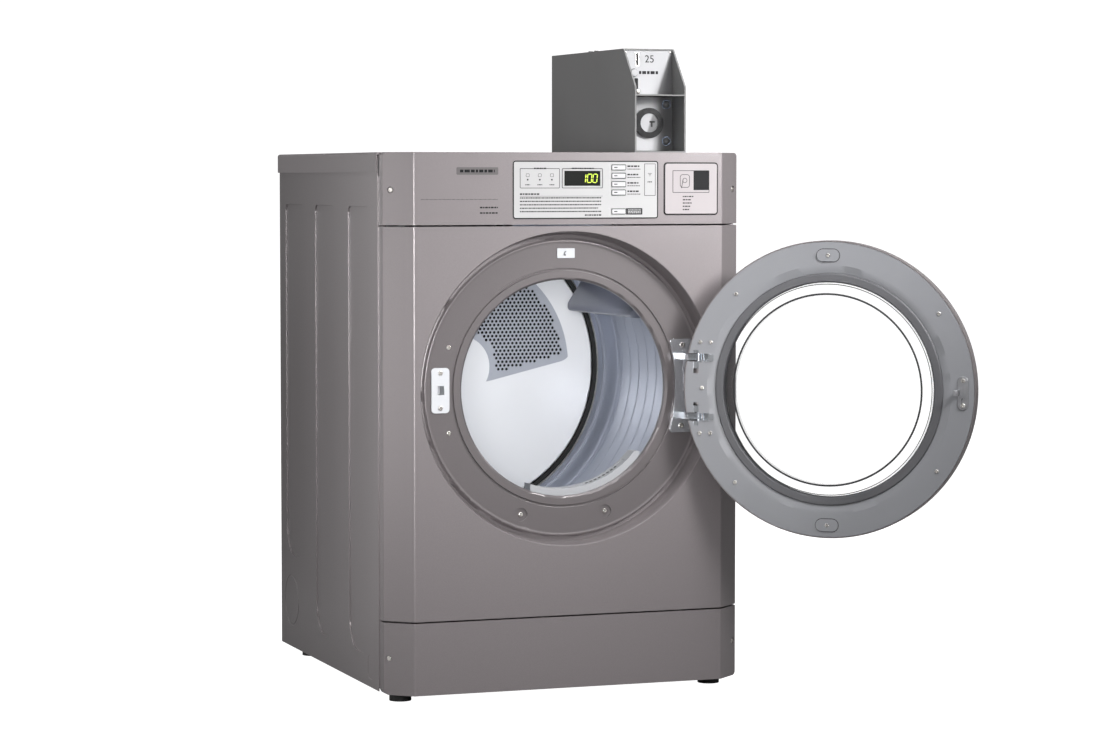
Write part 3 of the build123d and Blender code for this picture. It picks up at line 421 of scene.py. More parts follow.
def refine(node, finish, width=0.0, segments=2, angle=35):
    """A merged, edge-rounded copy of a CAD node, which it stands for."""
    only(frame["nodes"][node])
    bpy.ops.object.duplicate()
    piece = bpy.context.view_layer.objects.active
    piece.parent = None
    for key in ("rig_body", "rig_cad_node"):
        if key in piece:
            del piece[key]
    piece.name = node + "_finished"
    edit(piece, "VERT")
    bpy.ops.mesh.select_all(action="SELECT")
    bpy.ops.mesh.remove_doubles(threshold=1e-6)
    bpy.ops.mesh.dissolve_limited(angle_limit=math.radians(0.3))
    leave()
    if width > 0:
        bevel(piece, width, segments, angle)
    even_normals(smooth(piece, angle))
    coat(piece, finish)
    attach(piece, body_of(node))
    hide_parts(node)
    REFINED[node] = piece
    return piece


def body_of(node):
    groups = frame["record"]["behaviour"]["bodies"]
    return next(body for body, members in groups.items() if node in members)


def slot_of(node):
    return next(s["material_slot"] for s in frame["record"]["subparts"] if s["node"] == node)


# ---------------------------------------------------------------- carried-over CAD nodes
HEAT_BUTTONS = [f"heat_button_{number}" for number in range(1, 5)]
BUTTONS = HEAT_BUTTONS + ["start_button"]
FEET = ["foot_front_left", "foot_front_right", "foot_rear_left", "foot_rear_right"]
# The heater box and coil are painted near black as painted shade, darkening the cavity seen through the
# grille's holes.
NODE_FINISH = {"front_panel": "front_enamel", "left_side_panel": "side_enamel",
               "front_bulkhead": "ledge_enamel", "lint_filter": "ledge_enamel",
               "heater_box": "gap_and_shade_dark", "heater_coil": "gap_and_shade_dark",
               **dict.fromkeys(FEET, "foot_rubber"), **dict.fromkeys(BUTTONS, "key_plastic")}
# Millimetres taken off the sharp edges of each CAD node that is drawn again.
EDGE_WIDTHS = {"left_side_panel": 0.8, "right_side_panel": 0.8, "top_cover": 0.0, "front_panel": 0.0,
               "control_fascia": 0.9, "kick_panel": 0.9, "hinge_bracket": 0.8, "door_catch": 0.6,
               "meter_case": 0.8, "vault_door": 0.4, "meter_faceplate": 0.2,
               **dict.fromkeys(BUTTONS, 0.4), "hinge_leaves": 0.5, "door_strike": 0.4, "door_screws": 0.0,
               "panel_screws": 0.0, "door_switch": 0.3, "lint_filter": 0.4, "front_bulkhead": 0.0,
               "rear_bulkhead": 0.0, "drum": 0.0, "drum_baffles": 3.0, "door_shell": 0.0,
               "door_liner": 0.0, "door_gasket": 0.0, "door_glass": 0.0, "door_window": 0.0}


def finish_of(node):
    return NODE_FINISH.get(node, slot_of(node))


for entry in frame["record"]["subparts"]:
    coat(frame["nodes"][entry["node"]], finish_of(entry["node"]))

for name, width in EDGE_WIDTHS.items():
    refine(name, finish_of(name), width * MM)
refine("instruction_pad", "grey_pad", 1.8 * MM, 4)


# ---------------------------------------------------------------- flat printed and raised bits
def rounded_plate(x, z, width, height, y, thickness=PRINT_T, corner=0.0, segments=4, turn=0.0):
    """A thin plate whose back lies on plane y and whose face looks to the front."""
    bpy.ops.mesh.primitive_plane_add(size=1, location=(0, 0, 0))
    plate = bpy.context.object
    plate.scale = (width, height, 1)
    bake_place(plate)
    if corner > 0:
        edit(plate, "VERT")
        bpy.ops.mesh.select_all(action="SELECT")
        bpy.ops.mesh.bevel(offset=corner, segments=segments, affect="VERTICES")
        leave()
    edit(plate)
    bpy.ops.mesh.select_all(action="SELECT")
    bpy.ops.mesh.extrude_region_move(TRANSFORM_OT_translate={"value": (0, 0, thickness)})
    bpy.ops.mesh.select_all(action="SELECT")
    bpy.ops.mesh.normals_make_consistent(inside=False)
    leave()
    plate.rotation_euler = (math.pi / 2, turn, 0)
    plate.location = (x, y, z)
    return bake_place(plate)


def frame_plate(x, z, width, height, y, line, corner=2.0 * MM, thickness=PRINT_T, segments=4):
    """A thin printed outline: a rounded plate with its middle taken out."""
    plate = rounded_plate(x, z, width, height, y, thickness, corner, segments)
    pick_faces(plate, lambda face: abs(face.normal.y) > 0.9)
    bpy.ops.mesh.inset(thickness=line, depth=0)
    bpy.ops.mesh.delete(type="FACE")
    bpy.ops.mesh.select_mode(type="EDGE")
    bpy.ops.mesh.select_non_manifold()
    bpy.ops.mesh.bridge_edge_loops()
    bpy.ops.mesh.select_all(action="SELECT")
    bpy.ops.mesh.normals_make_consistent(inside=False)
    leave()
    return plate


def join(pieces, name, finish, body, slot_name, *nodes):
    """Several like pieces made one, coated and set on a body."""
    bpy.ops.object.select_all(action="DESELECT")
    for piece in pieces:
        piece.select_set(True)
    bpy.context.view_layer.objects.active = pieces[0]
    if len(pieces) > 1:
        bpy.ops.object.join()
    whole = bpy.context.view_layer.objects.active
    whole.name = name
    coat(whole, finish)
    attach(whole, body)
    if nodes:
        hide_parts(*nodes)
    return whole


def outline(low, high, y, line, grow=0.0, corner=2.0 * MM, thickness=PRINT_T):
    """A printed outline round a box, seen from the front."""
    middle = (low + high) / 2
    width, height = high.x - low.x + grow, high.z - low.z + grow
    return frame_plate(middle.x, middle.z, width, height, y, line, corner, thickness)


def text_lines(x0, x1, z, rise, y, words, seed):
    """A row of short bars that stands for a line of small print."""
    bars = []
    place = x0
    step = 0
    while place < x1 - 1 * MM:
        length = (2.2 + 3.4 * ((seed * 7 + step * 5) % 9) / 9) * MM * words
        length = min(length, x1 - place)
        bars.append(rounded_plate(place + length / 2, z, length, rise, y))
        place += length + 1.1 * MM * words
        step += 1
    return bars


def seven_segments(digit, x, z, height, y):
    """One lit numeral made of slim hexagonal strokes, leaning a little."""
    lit = {"0": "abcdef", "1": "bc"}[digit]
    half = height / 4
    width = height * 0.26
    spots = {"a": (0, 2 * half, 0), "g": (0, 0, 0), "d": (0, -2 * half, 0), "f": (-width, half, 1),
             "b": (width, half, 1), "e": (-width, -half, 1), "c": (width, -half, 1)}
    strokes = []
    for key in lit:
        dx, dz, upright = spots[key]
        long_side = half * 2 * 0.86 if upright else width * 2 * 0.80
        lean = 0.10 * dz
        size = (height * 0.085, long_side) if upright else (long_side, height * 0.085)
        strokes.append(rounded_plate(x + dx + lean, z + dz, *size, y, corner=height * 0.035, segments=1,
                                     turn=0.10 if upright else 0))
    return strokes


ICONS_X0, ICONS_X1 = -96.7 * MM, -21.0 * MM
READOUT_X0, READOUT_X1 = -17.0 * MM, 61.4 * MM
BOX_Z0, BOX_Z1 = 918.7 * MM, 954.4 * MM
SIGNAL_X, SIGNAL_Z = 152.6 * MM, 934 * MM
RULE_Z = 904.6 * MM
LABEL_X0, LABEL_X1 = 109 * MM, 138 * MM
ROW_TOP, ROW_STEP = 901.5 * MM, 6.1 * MM
SHORT_ROW = 3


def overlay_lines(face):
    """Boxes round the icons, the readout and the signal mark, and the rule over the small print."""
    lines = [frame_plate((x0 + x1) / 2, (BOX_Z0 + BOX_Z1) / 2, x1 - x0, BOX_Z1 - BOX_Z0, face, 1.0 * MM)
             for x0, x1 in ((ICONS_X0, ICONS_X1), (READOUT_X0, READOUT_X1))]
    lines.append(frame_plate(SIGNAL_X, SIGNAL_Z, 21.8 * MM, 58 * MM, face, 0.9 * MM, 1 * MM))
    lines.append(rounded_plate((ICONS_X0 + READOUT_X1) / 2, RULE_Z, READOUT_X1 - ICONS_X0, 0.5 * MM, face))
    return lines


def overlay_icons(face):
    """Three lamps, each with a plain symbol above it and a dash of print below."""
    bits = []
    for x in (-82 * MM, -59 * MM, -36 * MM):
        bits.append(rounded_plate(x, 934 * MM, 3 * MM, 3 * MM, face, corner=1.4 * MM))
        bits.append(frame_plate(x, 942 * MM, 6.5 * MM, 6 * MM, face, 0.6 * MM, 1.4 * MM))
        bits += text_lines(x - 4.5 * MM, x + 4.5 * MM, 925 * MM, 1.7 * MM, face, 0.8, int(x * 1000))
    return bits


def overlay_small_print(face):
    """Rows of bars where the overlay's headings and its paragraph stand."""
    bits = text_lines(-70 * MM, -46 * MM, 954.2 * MM, 2.4 * MM, face, 1.0, 3)
    bits += text_lines(2 * MM, 45 * MM, 954.2 * MM, 2.4 * MM, face, 1.0, 5)
    bits += text_lines(ICONS_X0, -60 * MM, 908.4 * MM, 2.6 * MM, face, 1.1, 2)
    for row in range(5):
        right = 52 * MM if row == SHORT_ROW else 60 * MM
        bits += text_lines(ICONS_X0, right, ROW_TOP - ROW_STEP * row, 2.0 * MM, face, 0.9, row)
    bits += text_lines(27 * MM, 60 * MM, 870.6 * MM, 2.4 * MM, face, 1.0, 7)
    return bits


def overlay_key_labels(face):
    """A long and a short bar beside each temperature key, and the signal mark's arcs and dash."""
    bits = []
    for number, node in enumerate(HEAT_BUTTONS, 1):
        low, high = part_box(node)
        z = (low.z + high.z) / 2
        bits += text_lines(LABEL_X0, 132 * MM, z + 2.2 * MM, 2.6 * MM, face, 1.2, number)
        bits += text_lines(LABEL_X0, 134 * MM, z - 3.0 * MM, 1.3 * MM, face, 0.8, number + 3)
    for step in range(3):
        bits.append(rounded_plate(SIGNAL_X, (941 + 2.2 * step) * MM, (2 + 2.6 * step) * MM, 0.7 * MM, face,
                                  corner=0.3 * MM))
    bits += text_lines(148 * MM, 157 * MM, 930 * MM, 1.8 * MM, face, 0.7, 4)
    return bits


def build_start_label(face):
    """The dark block beside the start key, with pale bars on it."""
    low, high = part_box("start_button")
    z = (low.z + high.z) / 2
    block = rounded_plate((high.x + LABEL_X1) / 2, z, LABEL_X1 - high.x, high.z - low.z + 1 * MM, face,
                          corner=1 * MM)
    join([block], "start_label", "soft_print", "root", "white_overlay")
    pale = []
    for row in (-2.6, 0, 2.6):
        pale += text_lines(high.x + 4 * MM, LABEL_X1 - 3 * MM, z + row * MM, 1.2 * MM, face - PRINT_T, 0.8,
                           int(row + 5))
    join(pale, "start_label_print", "key_plastic", "root", "white_overlay")


def build_display():
    """Lit figures and the pale surround of the display window."""
    low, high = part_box("display_window")
    z = (low.z + high.z) / 2
    digits = []
    for digit, x in (("1", 24.5), ("0", 36.0), ("0", 46.5)):
        digits += seven_segments(digit, x * MM, z, 15 * MM, low.y)
    for dz in (-3, 3):
        digits.append(rounded_plate(29.6 * MM, z + dz * MM, 1.4 * MM, 1.4 * MM, low.y, corner=0.5 * MM))
    join(digits, "display_digits", "lit_digit", "root", "display_lens")
    join([outline(low, high, low.y, 3.2 * MM)], "screen_surround", "white_overlay", "root", "white_overlay")


def build_overlay():
    low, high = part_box("control_overlay")
    face = low.y
    join([outline(low, high, face, 2.0 * MM, corner=5 * MM)], "overlay_border", "dark_print", "root",
         "white_overlay")
    join(overlay_lines(face), "overlay_boxes", "soft_print", "root", "white_overlay")
    print_bits = overlay_icons(face) + overlay_small_print(face) + overlay_key_labels(face)
    join(print_bits, "overlay_print", "dark_print", "root", "white_overlay")
    build_start_label(face)
    build_display()


def build_buttons():
    """A dash and a dark outline on each key, which travel with it."""
    for node in BUTTONS:
        low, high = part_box(node)
        x, z = (low.x + high.x) / 2, (low.z + high.z) / 2
        dash = rounded_plate(x - 6 * MM, z, 6.5 * MM, 1.6 * MM, low.y, corner=0.5 * MM)
        join([dash], node + "_dash", "soft_print", node, slot_of(node))
        rim = outline(low, high, low.y, 1.0 * MM, -0.6 * MM, 1.7 * MM)
        join([rim], node + "_outline", "dark_print", node, slot_of(node))


PICTURE_X, PICTURE_Z = 232.5 * MM, 930.6 * MM
STEPS_X0 = 216.5 * MM
STEPS_X1 = (238, 234, 235, 232, 229)


def build_instruction_pad():
    """A framed plain symbol, five lines of bars below it, and a painted shadow in the gap round the pad."""
    low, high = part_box("instruction_pad")
    face = low.y
    x, z = PICTURE_X, PICTURE_Z
    picture = [frame_plate(x, z, 71.8 * MM, 40.4 * MM, face, 0.9 * MM, 1 * MM),
               rounded_plate(x + 20 * MM, z + 2 * MM, 30 * MM, 35 * MM, face, corner=1 * MM),
               rounded_plate(x - 17 * MM, z - 4 * MM, 1 * MM, 16 * MM, face, turn=0.2)]
    join(picture, "pad_picture", "dark_print", "root", "grey_pad")
    symbol = [frame_plate(x - 12 * MM, z + 1 * MM, 19 * MM, 24 * MM, face, 0.9 * MM, 5 * MM),
              frame_plate(x - 12 * MM, z + 2 * MM, 9 * MM, 9 * MM, face, 0.8 * MM, 4.4 * MM)]
    join(symbol, "pad_symbol", "dark_print", "root", "grey_pad")
    words = []
    for row, right in enumerate(STEPS_X1):
        words += text_lines(STEPS_X0, right * MM, (903.5 - 5.9 * row) * MM, 2.0 * MM, face, 1.0, row)
    join(words, "pad_print", "dark_print", "root", "grey_pad")
    # Painted shadow: a near-black ring on the fascia round the pad.
    gap = outline(low, high, FRONT_Y, 2.8 * MM, 4.8 * MM, 6.5 * MM, 0.2 * MM)
    join([gap], "pad_shadow_gap", "gap_and_shade_dark", "root", "grey_pad")


RANGE_X, RANGE_Z = -176.5 * MM, 949.5 * MM
RANGE_PLATE_T = 0.4 * MM
DOTS, DOT_X0, DOT_STEP, DOT_SIZE = 60, -281, 2.4, 1.3 * MM
MARK_X0, MARK_X1 = -171.6 * MM, -138 * MM


def build_fascia_labels():
    """The plate with bars at the upper left, the dotted line, and two short rows of bars under it."""
    plate = rounded_plate(RANGE_X, RANGE_Z, 78.5 * MM, 13.3 * MM, FRONT_Y, RANGE_PLATE_T, 2 * MM)
    join([plate], "range_label_plate", "label_grey", "root", "grey_pad")
    bars = text_lines(-209 * MM, -144 * MM, RANGE_Z, 5.0 * MM, FRONT_Y - RANGE_PLATE_T, 1.9, 3)
    join(bars, "range_label_bars", "dark_print", "root", "grey_pad")
    dots = [rounded_plate((DOT_X0 + DOT_STEP * number) * MM, 899.1 * MM, DOT_SIZE, DOT_SIZE, FRONT_Y,
                          0.1 * MM, 0.4 * MM, 2) for number in range(DOTS)]
    join(dots, "fascia_dotted_line", "soft_print", "root", "grey_pad")
    small = text_lines(MARK_X0, MARK_X1, 884.7 * MM, 2.6 * MM, FRONT_Y, 1.1, 2)
    small += text_lines(MARK_X0, MARK_X1, 875.0 * MM, 2.6 * MM, FRONT_Y, 1.1, 6)
    join(small, "fascia_small_bars", "dark_print", "root", "grey_pad")


# ---------------------------------------------------------------- perforated air grille
GRILLE_PITCH = 8.5 * MM
GRILLE_STEP = GRILLE_PITCH * math.sqrt(3)
GRILLE_HOLE_R = 3.0 * MM
GRILLE_RIM = 13 * MM
GRILLE_IN, GRILLE_OUT = 62 * MM, 228 * MM
GRILLE_LOW, GRILLE_LEFT = math.radians(13.4), math.radians(10)
# A point on each straight edge, and the way from it into the grille.
GRILLE_EDGES = [(Vector((0, 0, 519 * MM)), Vector((-math.sin(GRILLE_LOW), 0, math.cos(GRILLE_LOW)))),
                (Vector((-40 * MM, 0, 562 * MM)), Vector((math.cos(GRILLE_LEFT), 0, math.sin(GRILLE_LEFT))))]
HOLES_X, HOLES_Z = DRUM_AXIS.x - 60 * MM, 490 * MM
HOLE_COLUMNS, HOLE_ROWS = 56, 26


def edge_distances(point):
    """How far a point lies inside each straight edge of the grille."""
    return [(point - at).dot(way) for at, way in GRILLE_EDGES]


def drum_reach(x, z):
    """Distance from the drum's axis."""
    return math.hypot(x - DRUM_AXIS.x, z - DRUM_AXIS.z)


def axis_cylinder(x, z, y, radius, depth, vertices):
    """A cylinder that lies along y."""
    bpy.ops.mesh.primitive_cylinder_add(vertices=vertices, radius=radius, depth=depth, location=(x, y, z),
                                        rotation=(math.pi / 2, 0, 0))
    return bake_place(bpy.context.object)


def round_grille_corners(plate, thickness):
    """Bevel the upright edges where the grille's straight sides meet its arcs."""
    edit(plate, "EDGE")
    leave()
    points = plate.data.vertices
    for edge in plate.data.edges:
        a, b = (points[i].co for i in edge.vertices)
        reach = drum_reach(a.x, a.z)
        near = sum(abs(v) < 0.6 * MM for v in edge_distances(a) + [reach - GRILLE_OUT, reach - GRILLE_IN])
        edge.select = abs(a.y - b.y) > thickness * 0.9 and near >= 2
    bpy.ops.object.mode_set(mode="EDIT")
    bpy.ops.mesh.bevel(offset=18 * MM, segments=10, affect="EDGES")
    leave()


def hole_rods(middle, depth):
    """Two staggered rows of rods repeated over the whole sector, those outside its rim taken out."""
    rods = axis_cylinder(HOLES_X, HOLES_Z, middle, GRILLE_HOLE_R, depth, 10)
    only(rods)
    bpy.ops.object.duplicate()
    shifted = bpy.context.object
    shifted.location = (GRILLE_PITCH / 2, 0, GRILLE_STEP / 2)
    bake_place(shifted)
    only(rods)
    shifted.select_set(True)
    bpy.ops.object.join()
    for count, offset in ((HOLE_COLUMNS, (GRILLE_PITCH, 0, 0)), (HOLE_ROWS, (0, 0, GRILLE_STEP))):
        array = rods.modifiers.new("array", "ARRAY")
        array.count = count
        array.use_relative_offset = False
        array.use_constant_offset = True
        array.constant_offset_displace = offset
    apply_modifiers(rods)

    def outside(co):
        row = round((co.z - HOLES_Z) / (GRILLE_STEP / 2))
        left = HOLES_X + (row % 2) * GRILLE_PITCH / 2
        x = left + round((co.x - left) / GRILLE_PITCH) * GRILLE_PITCH
        z = HOLES_Z + row * GRILLE_STEP / 2
        reach = drum_reach(x, z)
        inside = edge_distances(Vector((x, 0, z))) + [reach - GRILLE_IN, GRILLE_OUT - reach]
        return min(inside) < GRILLE_RIM

    pick_vertices(rods, outside)
    bpy.ops.mesh.delete(type="VERT")
    leave()
    return rods


def build_grille():
    """A round plate cut to its sector, then perforated."""
    low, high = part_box("air_grille")
    middle = (low.y + high.y) / 2
    thickness = high.y - low.y
    plate = axis_cylinder(DRUM_AXIS.x, DRUM_AXIS.z, middle, GRILLE_OUT, thickness, 160)
    for at, way in GRILLE_EDGES:
        edit(plate)
        bpy.ops.mesh.select_all(action="SELECT")
        bpy.ops.mesh.bisect(plane_co=at, plane_no=way, clear_inner=True, use_fill=True)
        leave()
    cut(plate, axis_cylinder(DRUM_AXIS.x, DRUM_AXIS.z, middle, GRILLE_IN, 4 * thickness, 64))
    round_grille_corners(plate, thickness)
    cut(plate, hole_rods(middle, 3 * thickness))
    even_normals(smooth(plate, 40))
    plate.name = "air_grille_perforated"
    coat(plate, "grille_paint")
    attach(plate, "root")
    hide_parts("air_grille")


def cut(piece, tool):
    """Take one closed shape out of another."""
    modifier = piece.modifiers.new("cut", "BOOLEAN")
    modifier.operation = "DIFFERENCE"
    modifier.solver = "EXACT"
    modifier.object = tool
    apply_modifiers(piece)
    bpy.data.objects.remove(tool)


# ---------------------------------------------------------------- coin meter
def disc(x, z, radius, y, thickness, segments=24):
    return rounded_plate(x, z, 2 * radius, 2 * radius, y, thickness, radius * 0.995, segments // 4)


def ring(x, z, outer, inner, y, thickness):
    return frame_plate(x, z, 2 * outer, 2 * outer, y, outer - inner, outer * 0.995, thickness, 10)


def dome(x, z, radius, y, height):
    """A domed screw or bolt head with its base on plane y."""
    bpy.ops.mesh.primitive_uv_sphere_add(segments=24, ring_count=12, radius=radius, location=(0, 0, 0))
    head = bpy.context.object
    edit(head)
    bpy.ops.mesh.select_all(action="SELECT")
    bpy.ops.mesh.bisect(plane_co=(0, 0, 0), plane_no=(0, 1, 0), clear_outer=True, use_fill=True)
    leave()
    head.scale = (1, height / radius, 1)
    head.location = (x, y, z)
    return smooth(bake_place(head), 40)


def numerals(words, x, z, height, y):
    """Plain figures as a thin printed shape."""
    bpy.ops.object.text_add()
    text = bpy.context.object
    text.data.body = words
    text.data.size = height * 1.42
    text.data.align_x = "CENTER"
    text.data.align_y = "CENTER"
    text.data.extrude = 0.1 * MM
    only(text)
    bpy.ops.object.convert(target="MESH")
    text.rotation_euler = (math.pi / 2, 0, 0)
    text.location = (x, y - 0.1 * MM, z)
    return bake_place(text)


SLOT_X, SLOT_Z = 167.6 * MM, 1154.5 * MM
BOLT_X, BOLT_ZS = 224 * MM, (1072.5 * MM, 1005.0 * MM)
SHROUD_R = 29 * MM
FACEPLATE_INSET = 1.2 * MM
VAULT_INSET = 7 * MM


def build_faceplate(face):
    """Coin slot, reject slot, figures, bars and fittings on the upper plate."""
    dark = [rounded_plate(SLOT_X, SLOT_Z, 3.4 * MM, 23 * MM, face, 0.3 * MM, 1.2 * MM),
            rounded_plate(166.0 * MM, 1110 * MM, 7 * MM, 20 * MM, face, 0.3 * MM, 1.5 * MM),
            numerals("25", 192 * MM, 1154.8 * MM, 13.5 * MM, face)]
    dark += text_lines(171.5 * MM, 209 * MM, 1130.5 * MM, 5.5 * MM, face, 1.7, 4)
    join(dark, "meter_print", "dark_print", "root", "black_plastic")
    low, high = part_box("coin_return_button")
    middle = (low + high) / 2
    collar = ring(middle.x, middle.z, 7.6 * MM, 6.4 * MM, face, 1.2 * MM)
    join([collar], "return_button_collar", "dark_print", "root", "black_plastic")
    fittings = [frame_plate(SLOT_X, SLOT_Z, 6.4 * MM, 26 * MM, face, 1.0 * MM, 1.6 * MM, 0.8 * MM),
                dome(145 * MM, 1167 * MM, 2.2 * MM, face, 1.2 * MM),
                dome(233 * MM, 1168 * MM, 2.2 * MM, face, 1.2 * MM),
                dome(168.6 * MM, 1095 * MM, 5.5 * MM, face, 5.0 * MM)]
    join(fittings, "meter_fittings", "screw_steel", "root", "screw_steel")


def build_vault(face):
    """The vault door's black lock shroud, its two bolts and the keyhole."""
    low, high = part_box("vault_lock")
    lock = (low + high) / 2
    paint_faces(REFINED["vault_door"], "gloss_black",
                lambda f: math.hypot(f.center.x - lock.x, f.center.z - lock.z) < SHROUD_R and
                f.center.y < face - 0.3 * MM)
    bolts = []
    for z in BOLT_ZS:
        bolts.append(dome(BOLT_X, z, 7 * MM, face, 4.5 * MM))
        bolts.append(disc(BOLT_X, z, 8.6 * MM, face, 0.8 * MM))
    join(bolts, "vault_bolts", "blued_chrome", "vault_door", "screw_steel")
    key = [rounded_plate(lock.x + 6 * MM, lock.z + 2 * MM, 11 * MM, 3 * MM, low.y, 0.2 * MM, 0.6 * MM),
           rounded_plate(lock.x + 5 * MM, lock.z - 3 * MM, 3 * MM, 9 * MM, low.y, 0.2 * MM, 0.6 * MM)]
    join(key, "lock_keyhole", "gap_and_shade_dark", "vault_lock", "vault_steel")


def build_meter():
    build_faceplate(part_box("meter_faceplate")[0].y + FACEPLATE_INSET)
    build_vault(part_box("vault_door")[0].y + VAULT_INSET)


# ---------------------------------------------------------------- door and lint filter
def paint_faces(piece, finish, test):
    """A second finish on the faces that pass a test."""
    piece.data.materials.append(FINISHES[finish])
    for face in piece.data.polygons:
        if test(face):
            face.material_index = len(piece.data.materials) - 1


def in_door(point):
    """A point of the open door, turned back to where it is when the door is shut."""
    offset = Vector((point.x - HINGE.x, point.y - HINGE.y))
    c, s = math.cos(-DOOR_OPEN), math.sin(-DOOR_OPEN)
    return Vector((HINGE.x + offset.x * c - offset.y * s, HINGE.y + offset.x * s + offset.y * c, point.z))


PLUG_RISE = 242 * MM


def plug_face(face):
    """A face of the two long plugs at the top and bottom of the door's liner, their screws apart."""
    spot = in_door(face.center)
    along = abs(spot.x) < 22 * MM and abs(abs(spot.z - DOOR_Z) - PLUG_RISE) < 14 * MM
    return along and spot.y < LINER_Y + 1.9 * MM


def swing_open(piece):
    """Carry a piece drawn on the shut door to where the open door is."""
    turn = Matrix.Rotation(DOOR_OPEN, 3, "Z")
    piece.rotation_euler = (0, 0, DOOR_OPEN)
    piece.location = HINGE - turn @ HINGE
    return bake_place(piece)


def door_ring(radius, y, width, height):
    """A low round bead that runs round the shut door at a depth."""
    bpy.ops.mesh.primitive_torus_add(major_radius=radius, minor_radius=width / 2, major_segments=144,
                                     minor_segments=10)
    bead = bpy.context.object
    edit(bead)
    bpy.ops.mesh.select_all(action="SELECT")
    bpy.ops.transform.resize(value=(1, 1, height / width), center_override=(0, 0, 0))
    leave()
    bead.rotation_euler = (math.pi / 2, 0, 0)
    bead.location = (0, y, DOOR_Z)
    return smooth(swing_open(bake_place(bead)), 60)


def plug_outline(rise):
    """The dark line round one plug, on the liner."""
    line = frame_plate(0, DOOR_Z + rise, 43.4 * MM, 24.4 * MM, LINER_Y + 0.3 * MM, 1.6 * MM, 11.9 * MM,
                       0.4 * MM)
    return swing_open(line)


def build_door_lines():
    """Two dark beads, painted shade where the inner glass bends, and the outlines of the liner's two plugs.
    """
    # Painted shade: dark rings that stand for the dark lines the glass shows at its bends.
    rings = [door_ring(172 * MM, -340.2 * MM, 3.4 * MM, 1.6 * MM),
             door_ring(189.5 * MM, -346.0 * MM, 1.4 * MM, 1.0 * MM)]
    join(rings, "door_glass_bend_shade", "soft_print", "door", "window_glass")
    outlines = [plug_outline(rise) for rise in (241.0 * MM, -243.8 * MM)]
    join(outlines, "plug_outlines", "gap_and_shade_dark", "door", "liner_grey")


FILTER_HOLES = 8
FILTER_START, FILTER_SPAN = math.radians(286.5), math.radians(19.5)
FILTER_R, FILTER_Y = 183.9 * MM, -304 * MM


def build_filter_holes():
    """The lint filter's eight drain holes, seen as dark squares along the ledge."""
    marks = []
    for number in range(FILTER_HOLES):
        angle = FILTER_START + FILTER_SPAN * number / (FILTER_HOLES - 1)
        mark = rounded_plate(0, 0, 5.0 * MM, 6.5 * MM, 0, 0.2 * MM, 0.6 * MM, 2)
        mark.rotation_euler = (-math.pi / 2, 3 * math.pi / 2 - angle, 0)
        mark.location = (FILTER_R * math.cos(angle), FILTER_Y, DOOR_Z + FILTER_R * math.sin(angle))
        marks.append(bake_place(mark))
    join(marks, "lint_filter_holes", "gap_and_shade_dark", "lint_filter", "white_plastic")


build_grille()
build_filter_holes()
build_door_lines()
build_meter()
paint_faces(REFINED["door_screws"], "liner_grey", plug_face)
build_overlay()
build_buttons()
build_instruction_pad()
build_fascia_labels()


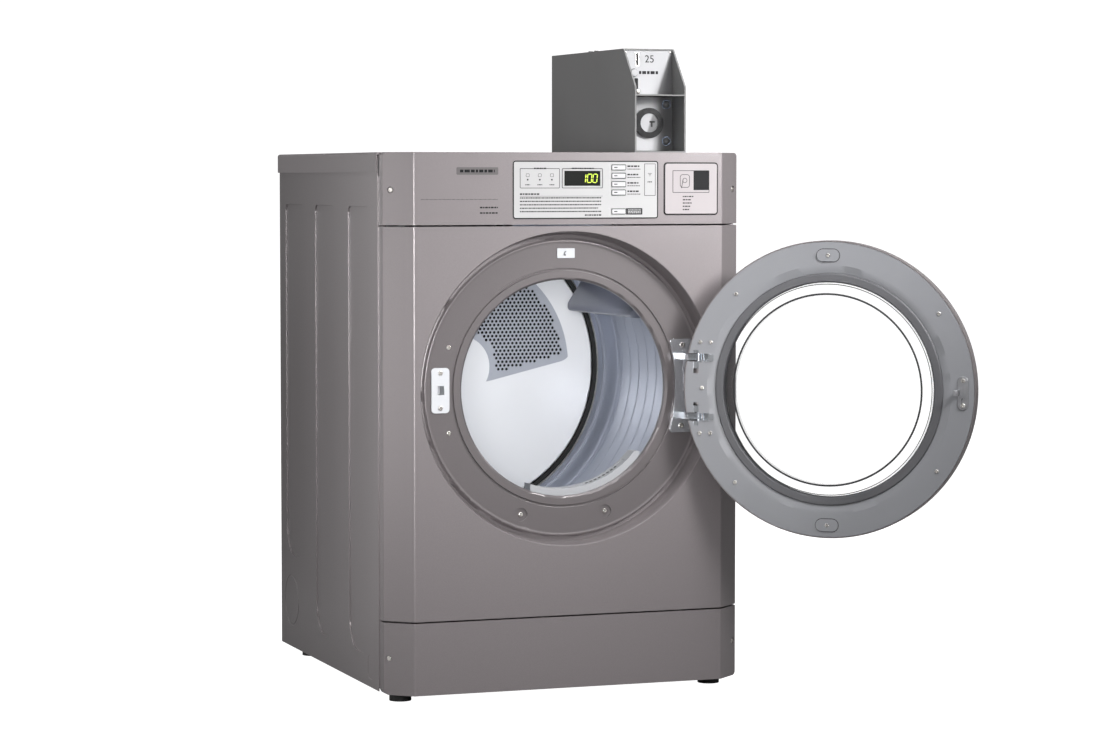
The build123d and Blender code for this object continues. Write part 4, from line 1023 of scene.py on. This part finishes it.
# ---------------------------------------------------------------- stage: floor, light, camera
def build_stage():
    bpy.ops.mesh.primitive_plane_add(size=40, location=(0, 0, 0))
    floor = bpy.context.object
    floor.name = "studio_floor"
    edit(floor)
    bpy.ops.mesh.select_all(action="SELECT")
    bpy.ops.mesh.subdivide(number_cuts=4)
    leave()
    f = Finish("studio_floor", 0.9)
    drift = f.noise(0.3, 2)
    f.join(f.ramp(drift, (0.3, (0.23, 0.23, 0.23)), (0.7, (0.25, 0.25, 0.25))), "Base Color")
    seen = f.nodes.new("ShaderNodeLightPath")
    f.shader.inputs["Emission Color"].default_value = (1, 1, 1, 1)
    f.join(f.span(seen.outputs["Is Camera Ray"], 0.0, 1.1, 0, 1), "Emission Strength")
    floor.data.materials.append(f.material)

    world = bpy.data.worlds.new("studio")
    world.use_nodes = True
    tree = world.node_tree
    soft = tree.nodes["Background"]
    soft.inputs["Color"].default_value = (1, 1, 1, 1)
    soft.inputs["Strength"].default_value = 0.21
    bright = tree.nodes.new("ShaderNodeBackground")
    bright.inputs["Color"].default_value = (1, 1, 1, 1)
    bright.inputs["Strength"].default_value = 1.1
    path = tree.nodes.new("ShaderNodeLightPath")
    choice = tree.nodes.new("ShaderNodeMixShader")
    tree.links.new(path.outputs["Is Camera Ray"], choice.inputs["Fac"])
    tree.links.new(soft.outputs["Background"], choice.inputs[1])
    tree.links.new(bright.outputs["Background"], choice.inputs[2])
    tree.links.new(choice.outputs["Shader"], tree.nodes["World Output"].inputs["Surface"])
    scene.world = world


def area_light(name, place, aim, size, power, spread=180):
    data = bpy.data.lights.new(name, "AREA")
    data.spread = math.radians(spread)
    data.shape = "RECTANGLE"
    data.size, data.size_y = size
    data.energy = power
    lamp = bpy.data.objects.new(name, data)
    scene.collection.objects.link(lamp)
    lamp.location = place
    lamp.rotation_euler = (Vector(aim) - Vector(place)).to_track_quat("-Z", "Y").to_euler()
    return lamp


def build_camera():
    data = bpy.data.cameras.new("camera")
    data.sensor_width = 36.0
    data.lens = 104.234
    data.clip_end = 100
    camera = bpy.data.objects.new("camera", data)
    camera.location = (-1.98994, -5.72230, 0.93932)
    camera.rotation_euler = (math.radians(90 - 3.3828), 0, math.radians(-19.9928))
    scene.collection.objects.link(camera)
    scene.camera = camera


build_stage()
# name, place, aim, size, watts and, for the narrow ones, the cone in degrees
LIGHTS = [("key", (1.1, -1.9, 1.75), (0.25, -0.3, 1.12), (0.9, 0.7), 17, 110),
          ("corner_key", (0.95, -1.6, 1.35), (0.30, -0.36, 0.80), (0.3, 0.3), 1.2, 45),
          ("top", (0, -0.8, 3.2), (0, 0, 0.5), (2.5, 2.5), 88),
          ("left", (-2.6, -0.9, 0.9), (-0.3, -0.2, 0.6), (1.0, 1.6), 14),
          ("side_sheen", (-1.3, 1.0, 0.8), (-0.34, -0.30, 0.62), (0.5, 1.6), 7),
          ("opening", (-0.9, -2.6, 0.8), (0.0, 0.1, 0.56), (0.5, 0.5), 2.7, 40),
          ("drum_glow", (0.0, -0.1, 0.74), (0.0, 0.15, 0.45), (0.2, 0.15), 0.8)]
for light in LIGHTS:
    area_light(*light)
build_camera()
scene.view_settings.view_transform = "Standard"
